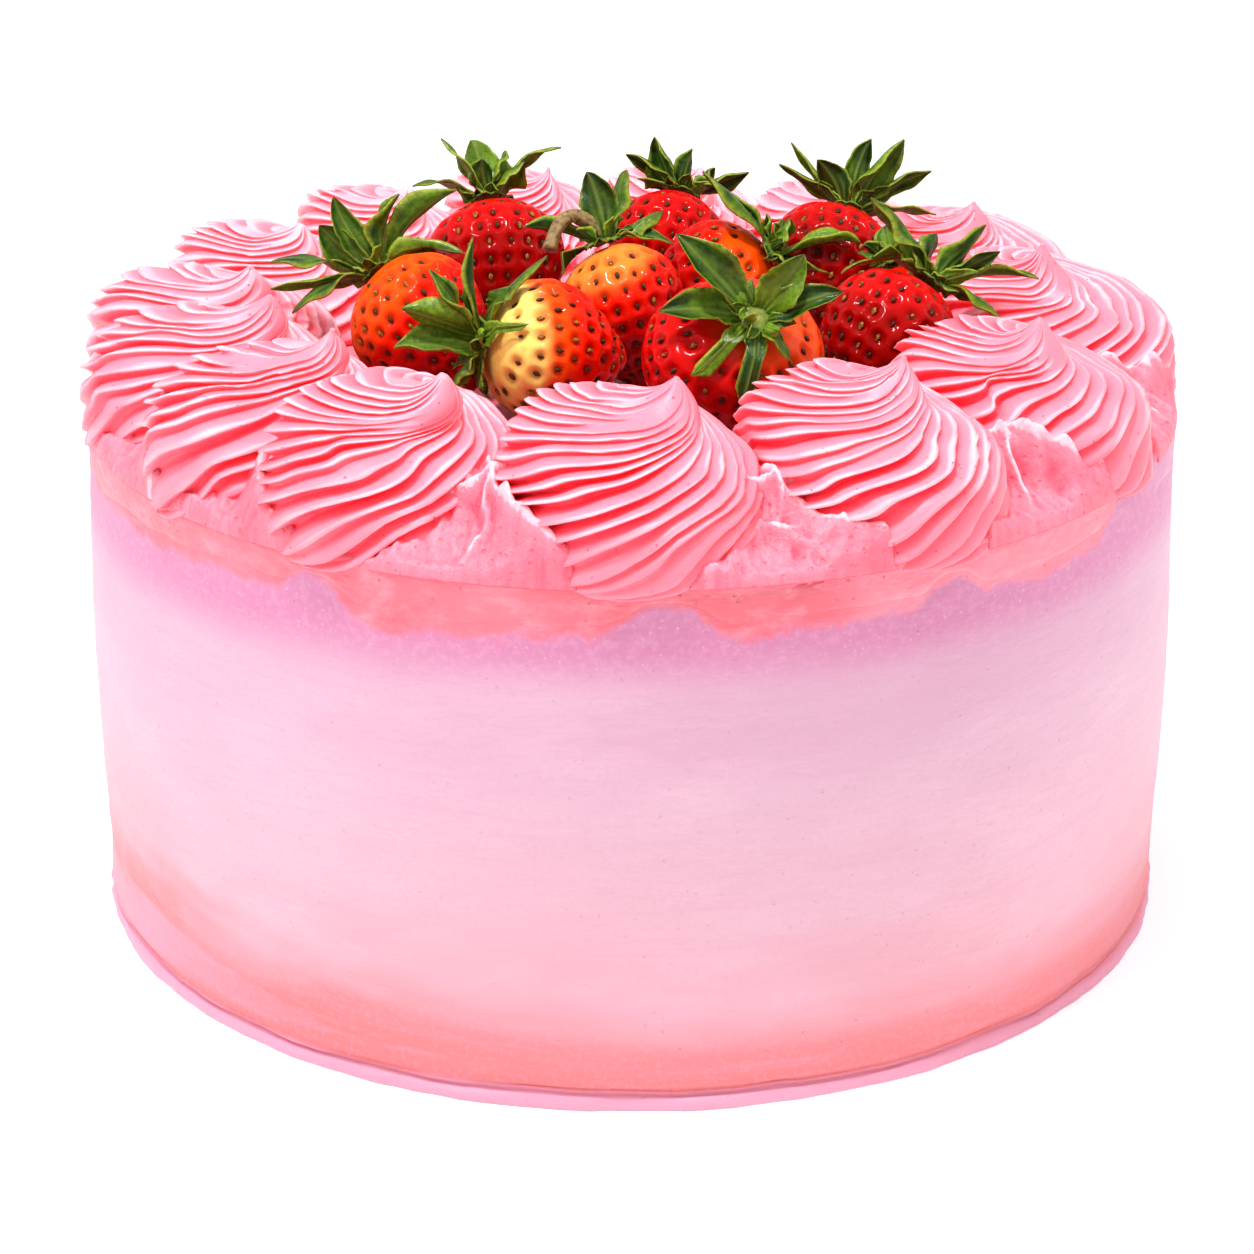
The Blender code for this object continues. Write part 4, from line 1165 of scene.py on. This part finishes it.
def make_gap(number, swirls, finish):
    """A patch of torn, rough icing in the gap between two swirls out to the rim, closed below."""
    u = np.linspace(-GAP_HALF_WIDTH, GAP_HALF_WIDTH, GAP_COLUMNS)
    v = np.concatenate([np.linspace(GAP_FROM, GAP_BEND, GAP_ROWS), GAP_RIM])
    u, v = np.meshgrid(u, v)
    turn = math.radians(GAPS[number][0]) + u / v.max()
    flat = np.stack([np.cos(turn), np.sin(turn)], -1) * (v * MM)[..., None]
    height, groove = gap_heights(number, u, v, flat, swirls)
    inside = smooth_step((GAP_HALF_WIDTH - np.abs(u)) / 1.5)
    height = height * inside - 1.2 * (1 - inside)
    rim = np.clip(v - GAP_BEND, 0, 1)
    height = height * (1 - rim) - 1.6 * rim ** 2
    points = np.concatenate([flat, TOP_HEIGHT + height[..., None] * MM], axis=-1).reshape(-1, 3)
    edge = sheet_edge(*u.shape)
    foot = points[edge] * (1, 1, 0) + (0, 0, TOP_HEIGHT - GAP_FLOOR)
    below = len(points)
    middle = below + len(edge)
    faces = turned(quads(*u.shape))
    for k, a in enumerate(edge):
        n = (k + 1) % len(edge)
        faces.append((a, edge[n], below + n, below + k))
        faces.append((below + k, below + n, middle))
    points = np.concatenate([points, foot, foot.mean(0)[None]])
    fields = {"groove": np.concatenate([groove.ravel(), np.ones(len(edge) + 1)])}
    add_piece(f"torn_icing_{number + 1:02d}", points, faces, finish, fields)


# The green caps of leaves.

LEAF_ROWS, LEAF_COLUMNS = 18, 11
HUB_ROWS, HUB_COLUMNS = 9, 25
HUB_VEIN = 0.3

# A leaf is widest from here on, as a share of its length, and its sides fold and wave by shares of half its
# width. Its colour is patchy, in layers for layered_noise.
LEAF_WIDE_FROM = 0.35
LEAF_FOLD, LEAF_WAVE, LEAF_JAG = 0.32, 0.26, 0.10
LEAF_PATCHES = ((0.36, 0.004, 1, 1, 0), (0.24, 0.0013, 1, 1, 1))


class Leaf:
    """One leaf: a curved, folded strip that widens and comes to a point."""

    def __init__(self, berry, hub, row, rng):
        reach = np.array(row[:3]) * MM
        angle = math.atan2(reach @ berry.other, reach @ berry.side)
        self.start = hub + berry.rim(angle) * CALYX_HUB_RADIUS * 0.55
        self.across = berry.rim(angle - math.pi / 2)
        self.up = -berry.axis
        self.tip = hub + reach
        self.width = row[3] * MM
        self.curl = rng.uniform(-0.6, 1.3)
        self.twist = rng.uniform(-1.1, 1.1)
        self.arch = rng.uniform(0.05, 0.36)
        self.sway = rng.uniform(-0.14, 0.14)
        self.seed = rng.randrange(1000)
        self.shade = rng.random()

    def surface(self):
        """Places and normals at shares s of the leaf's length, and t of its half width to either side."""
        s = np.linspace(0, 1, LEAF_ROWS)[:, None]
        t = np.linspace(-1, 1, LEAF_COLUMNS)[None, :]
        length = np.linalg.norm(self.tip - self.start)
        bend = self.start + (self.tip - self.start) * 0.45
        bend = bend + (self.up * self.arch + self.across * self.sway) * length
        middle = bent_line(self.start, bend, self.tip, s)
        ahead = unit(np.gradient(middle[:, 0], axis=0))[:, None, :]
        flat = unit(self.across - ahead * (ahead @ self.across)[..., None])
        upright = np.cross(ahead, flat)
        turn = (self.twist * s)[..., None]
        across = flat * np.cos(turn) + upright * np.sin(turn)
        normal = upright * np.cos(turn) - flat * np.sin(turn)
        half = self.width / 2 * (0.45 + 0.55 * smooth_step(s / LEAF_WIDE_FROM))
        half = half * (1 - np.clip((s - LEAF_WIDE_FROM) / 0.652, 0, 1) ** 1.8) ** 0.9
        jag = 1 + LEAF_JAG * np.sin(s * 34 + self.seed) * np.abs(t) ** 3 * (1 - s)
        fold = LEAF_FOLD * np.abs(t) ** 1.4
        edge = -self.curl * np.abs(t) ** 4 * smooth_step(s * 2)
        wave = LEAF_WAVE * np.sin(s * 10 + self.seed) * t * np.abs(t)
        place = middle + across * (half * t * jag)[..., None]
        place = place + normal * (half * (fold + edge + wave))[..., None]
        return place, normal * np.ones_like(place), s * np.ones_like(t), t * np.ones_like(s)


def clear_of(points, berries, trees):
    """Leaf points moved off the berries and up off the icing under them."""
    shape = points.shape
    points = points.reshape(-1, 3).copy()
    for berry in berries * 3:
        points = berry.push_out(points, LEAF_CLEARANCE)
    for point in points:
        for tree in trees:
            hit = tree.ray_cast(Vector((point[0], point[1], 0.2)), Vector((0, 0, -1)))[0]
            if hit:
                point[2] = max(point[2], hit.z + LEAF_CLEARANCE)
    return points.reshape(shape)


def leaf_colours(leaf, s, t, place):
    """Darker and brighter green in patches, with a yellower rim and a brown tip."""
    patch = layered_noise(place, LEAF_PATCHES, leaf.seed)
    base = mix(LEAF_DARK, LEAF_BRIGHT, np.clip(0.08 + 0.8 * leaf.shade ** 1.6 + patch - 0.15 * s, 0, 1))
    base = mix(base, LEAF_RIM, 0.65 * smooth_step((np.abs(t) - 0.80) / 0.2))
    return mix(base, LEAF_TIP, 0.7 * smooth_step((s - 0.90) / 0.1))


def vein_pattern(s, t):
    side = 0.6 * bell((np.abs(t) - 0.42 * (1 - 0.5 * s)) / 0.09)
    return np.maximum(bell(t / 0.10), side)


def small_leaves(berry, rng):
    """Short leaves between the long ones, in the same form: where the tip lies from the hub, and a width."""
    rows = []
    for k in range(SMALL_LEAVES):
        angle = 2 * math.pi * (k + rng.uniform(-0.35, 0.35)) / SMALL_LEAVES
        tip = berry.rim(angle) * rng.uniform(4.5, 7.5) - berry.axis * rng.uniform(0.5, 4.5)
        rows.append((*tip, rng.uniform(2.4, 3.8)))
    return rows


def hub_disc(berry, hub):
    """The round middle that the leaves grow from: places, normals, colours and veins."""
    r = np.linspace(0.02, 1, HUB_ROWS)[:, None]
    a = np.linspace(0, 2 * np.pi, HUB_COLUMNS)[None, :]
    reach = CALYX_HUB_RADIUS * r * (1 + 0.08 * np.sin(5 * a))
    lift = 0.0011 * (1 - r ** 2) + 0.00025 * np.sin(9 * a) * r
    disc = hub + berry.rim(a) * reach[..., None] - berry.axis * lift[..., None]
    normal = np.broadcast_to(-berry.axis, disc.shape)
    return disc, normal, mix(HUB_MIDDLE, HUB_EDGE, r * np.ones_like(a)), np.full(reach.shape, HUB_VEIN)


def sheet_faces(rows, columns, first):
    """Faces of a closed sheet, whose upper points come first and then as many lower ones."""
    count = rows * columns
    faces = quads(rows, columns, first) + turned(quads(rows, columns, first + count))
    edge = sheet_edge(rows, columns)
    for a, n in zip(edge, edge[1:] + edge[:1]):
        faces.append((first + n, first + a, first + a + count, first + n + count))
    return faces


def make_leaves(berry, berries, trees, finish):
    rng = random.Random("leaves" + berry.name)
    hub = berry.crown - berry.axis * CALYX_LIFT
    sheets = []
    for row in list(berry.leaves) + small_leaves(berry, rng):
        leaf = Leaf(berry, hub, row, rng)
        place, normal, s, t = leaf.surface()
        place = clear_of(place, berries, trees)
        sheets.append((place, normal, leaf_colours(leaf, s, t, place), vein_pattern(s, t)))
    sheets.append(hub_disc(berry, hub))
    points, faces, colours, veins = np.empty((0, 3)), [], [], []
    for place, normal, colour, vein in sheets:
        faces += sheet_faces(*vein.shape, len(points))
        sides = [place + normal * LEAF_THICKNESS / 2, place - normal * LEAF_THICKNESS / 2]
        points = np.concatenate([points, np.reshape(sides, (-1, 3))])
        colours += [colour.reshape(-1, 3)] * 2
        veins += [vein.ravel()] * 2
    fields = {"colour": np.concatenate(colours), "vein": np.concatenate(veins)}
    name = "calyx_" + berry.name
    add_piece("leaves_" + berry.name, points, faces, finish, fields, [name])


def make_stalk(berry, finish):
    start = berry.crown - berry.axis * (CALYX_LIFT + 0.0009)
    way = np.array(STALK_TIP) * MM
    s = np.linspace(0, 1, 26)
    bend = start + way * 0.45 - berry.axis * 0.18 * STALK_ARCH * np.linalg.norm(way)
    line = bent_line(start, bend, start + way, s)
    ahead = unit(np.gradient(line, axis=0))
    side = unit(np.cross(berry.side, ahead))
    other = np.cross(ahead, side)
    angle = np.linspace(0, 2 * np.pi, 20, endpoint=False)[:, None]
    s = s[:, None, None]
    radius = STALK_RADII[0] + (STALK_RADII[1] - STALK_RADII[0]) * s
    radius = radius * (1 + 0.10 * np.cos(5 * angle)) * (1 + 0.25 * bell((s - 1) / 0.06))
    round_it = side[:, None] * np.cos(angle) + other[:, None] * np.sin(angle)
    rows = line[:, None] + round_it * radius
    rows = rows + 0.0002 * rough_noise(rows, 0.0015, 301)[..., None]
    add_solid("stub_" + berry.name, rows, finish, {}, "stalk_" + berry.name)


# Floor, lights and camera.

# Each lamp: its name, width and height, power and place.
LAMPS = (
    ("key", (0.13, 0.10), 8.0, (-0.14, -0.20, 1.0)),
    ("left", (0.4, 0.8), 1.15, (-0.90, 0.10, 0.30)),
    ("right", (0.4, 0.8), 1.4, (0.90, 0.10, 0.30)),
    ("sparkle left", (0.06, 0.06), 2.2, (-0.45, -0.35, 0.75)),
    ("sparkle right", (0.06, 0.06), 2.0, (0.40, -0.10, 0.85)),
)
LAMPS_AIM = (0, 0, 0.08)
WORLD_STRENGTH = 0.66
FLOOR_SIZE = 3.0
FLOOR_DROP = 0.00002


def make_lamps():
    for name, size, power, place in LAMPS:
        lamp = bpy.data.lights.new(name, "AREA")
        lamp.shape = "RECTANGLE"
        lamp.size, lamp.size_y = size
        lamp.energy = power
        holder = bpy.data.objects.new(name, lamp)
        holder.location = place
        holder.rotation_euler = (Vector(LAMPS_AIM) - Vector(place)).to_track_quat("-Z", "Y").to_euler()
        bpy.context.scene.collection.objects.link(holder)


def make_floor():
    """A white floor that glows a little, a hair's breadth under the cake."""
    finish = Finish("floor", 0.7, 0.2)
    finish.set_inputs(finish.shader, {
        "Base Color": (0.95, 0.95, 0.95, 1),
        "Emission Color": (1, 1, 1, 1),
        "Emission Strength": 0.22,
    })
    mesh = bpy.data.meshes.new("floor")
    corners = [(x * FLOOR_SIZE, y * FLOOR_SIZE, 0) for x, y in ((-1, -1), (1, -1), (1, 1), (-1, 1))]
    mesh.from_pydata(corners, [], [(0, 1, 2, 3)])
    mesh.materials.append(finish.material)
    floor = bpy.data.objects.new("floor", mesh)
    floor.location.z = -FLOOR_DROP
    bpy.context.scene.collection.objects.link(floor)


def make_world():
    world = bpy.data.worlds.new("studio")
    world.use_nodes = True
    background = world.node_tree.nodes["Background"]
    background.inputs["Color"].default_value = (1, 1, 1, 1)
    background.inputs["Strength"].default_value = WORLD_STRENGTH
    bpy.context.scene.world = world


def make_camera():
    lens = bpy.data.cameras.new("camera")
    lens.sensor_width = 36
    lens.lens = FOCAL_PIXELS / FRAME_PIXELS * lens.sensor_width
    lens.shift_x = (FRAME_PIXELS / 2 - MIDDLE_COLUMN) / FRAME_PIXELS
    lens.clip_start = 0.01
    camera = bpy.data.objects.new("camera", lens)
    camera.location = CAMERA_PLACE
    camera.rotation_euler = (math.pi / 2 - CAMERA_PITCH, 0, 0)
    bpy.context.scene.collection.objects.link(camera)
    bpy.context.scene.camera = camera
    bpy.context.scene.view_settings.view_transform = "Standard"


def main():
    make_camera()
    make_floor()
    make_world()
    make_lamps()
    berries = [Berry(*row) for row in BERRIES]
    angles = [row[0] for row in SWIRLS]
    neighbours = zip(angles[-1:] + angles[:-1], angles[1:] + angles[:1])
    swirls = [Swirl(i + 1, SWIRLS[i], before, after) for i, (before, after) in enumerate(neighbours)]
    make_wall(wall_icing())
    make_top(top_icing())
    torn = torn_icing()
    for number in range(len(GAPS)):
        make_gap(number, swirls, torn)
    piped = piped_icing()
    pieces = [make_swirl(swirl, berries, piped) for swirl in swirls]
    skin = berry_skin()
    seeds = []
    for berry in berries:
        make_berry(berry, skin, seeds)
    make_seeds(seeds, seed_skin())
    trees = [BVHTree.FromObject(piece, bpy.context.evaluated_depsgraph_get()) for piece in pieces]
    green = leaf_skin()
    for berry in berries:
        make_leaves(berry, berries, trees, green)
        if berry.name == STALK_BERRY:
            make_stalk(berry, stalk_skin())


main()
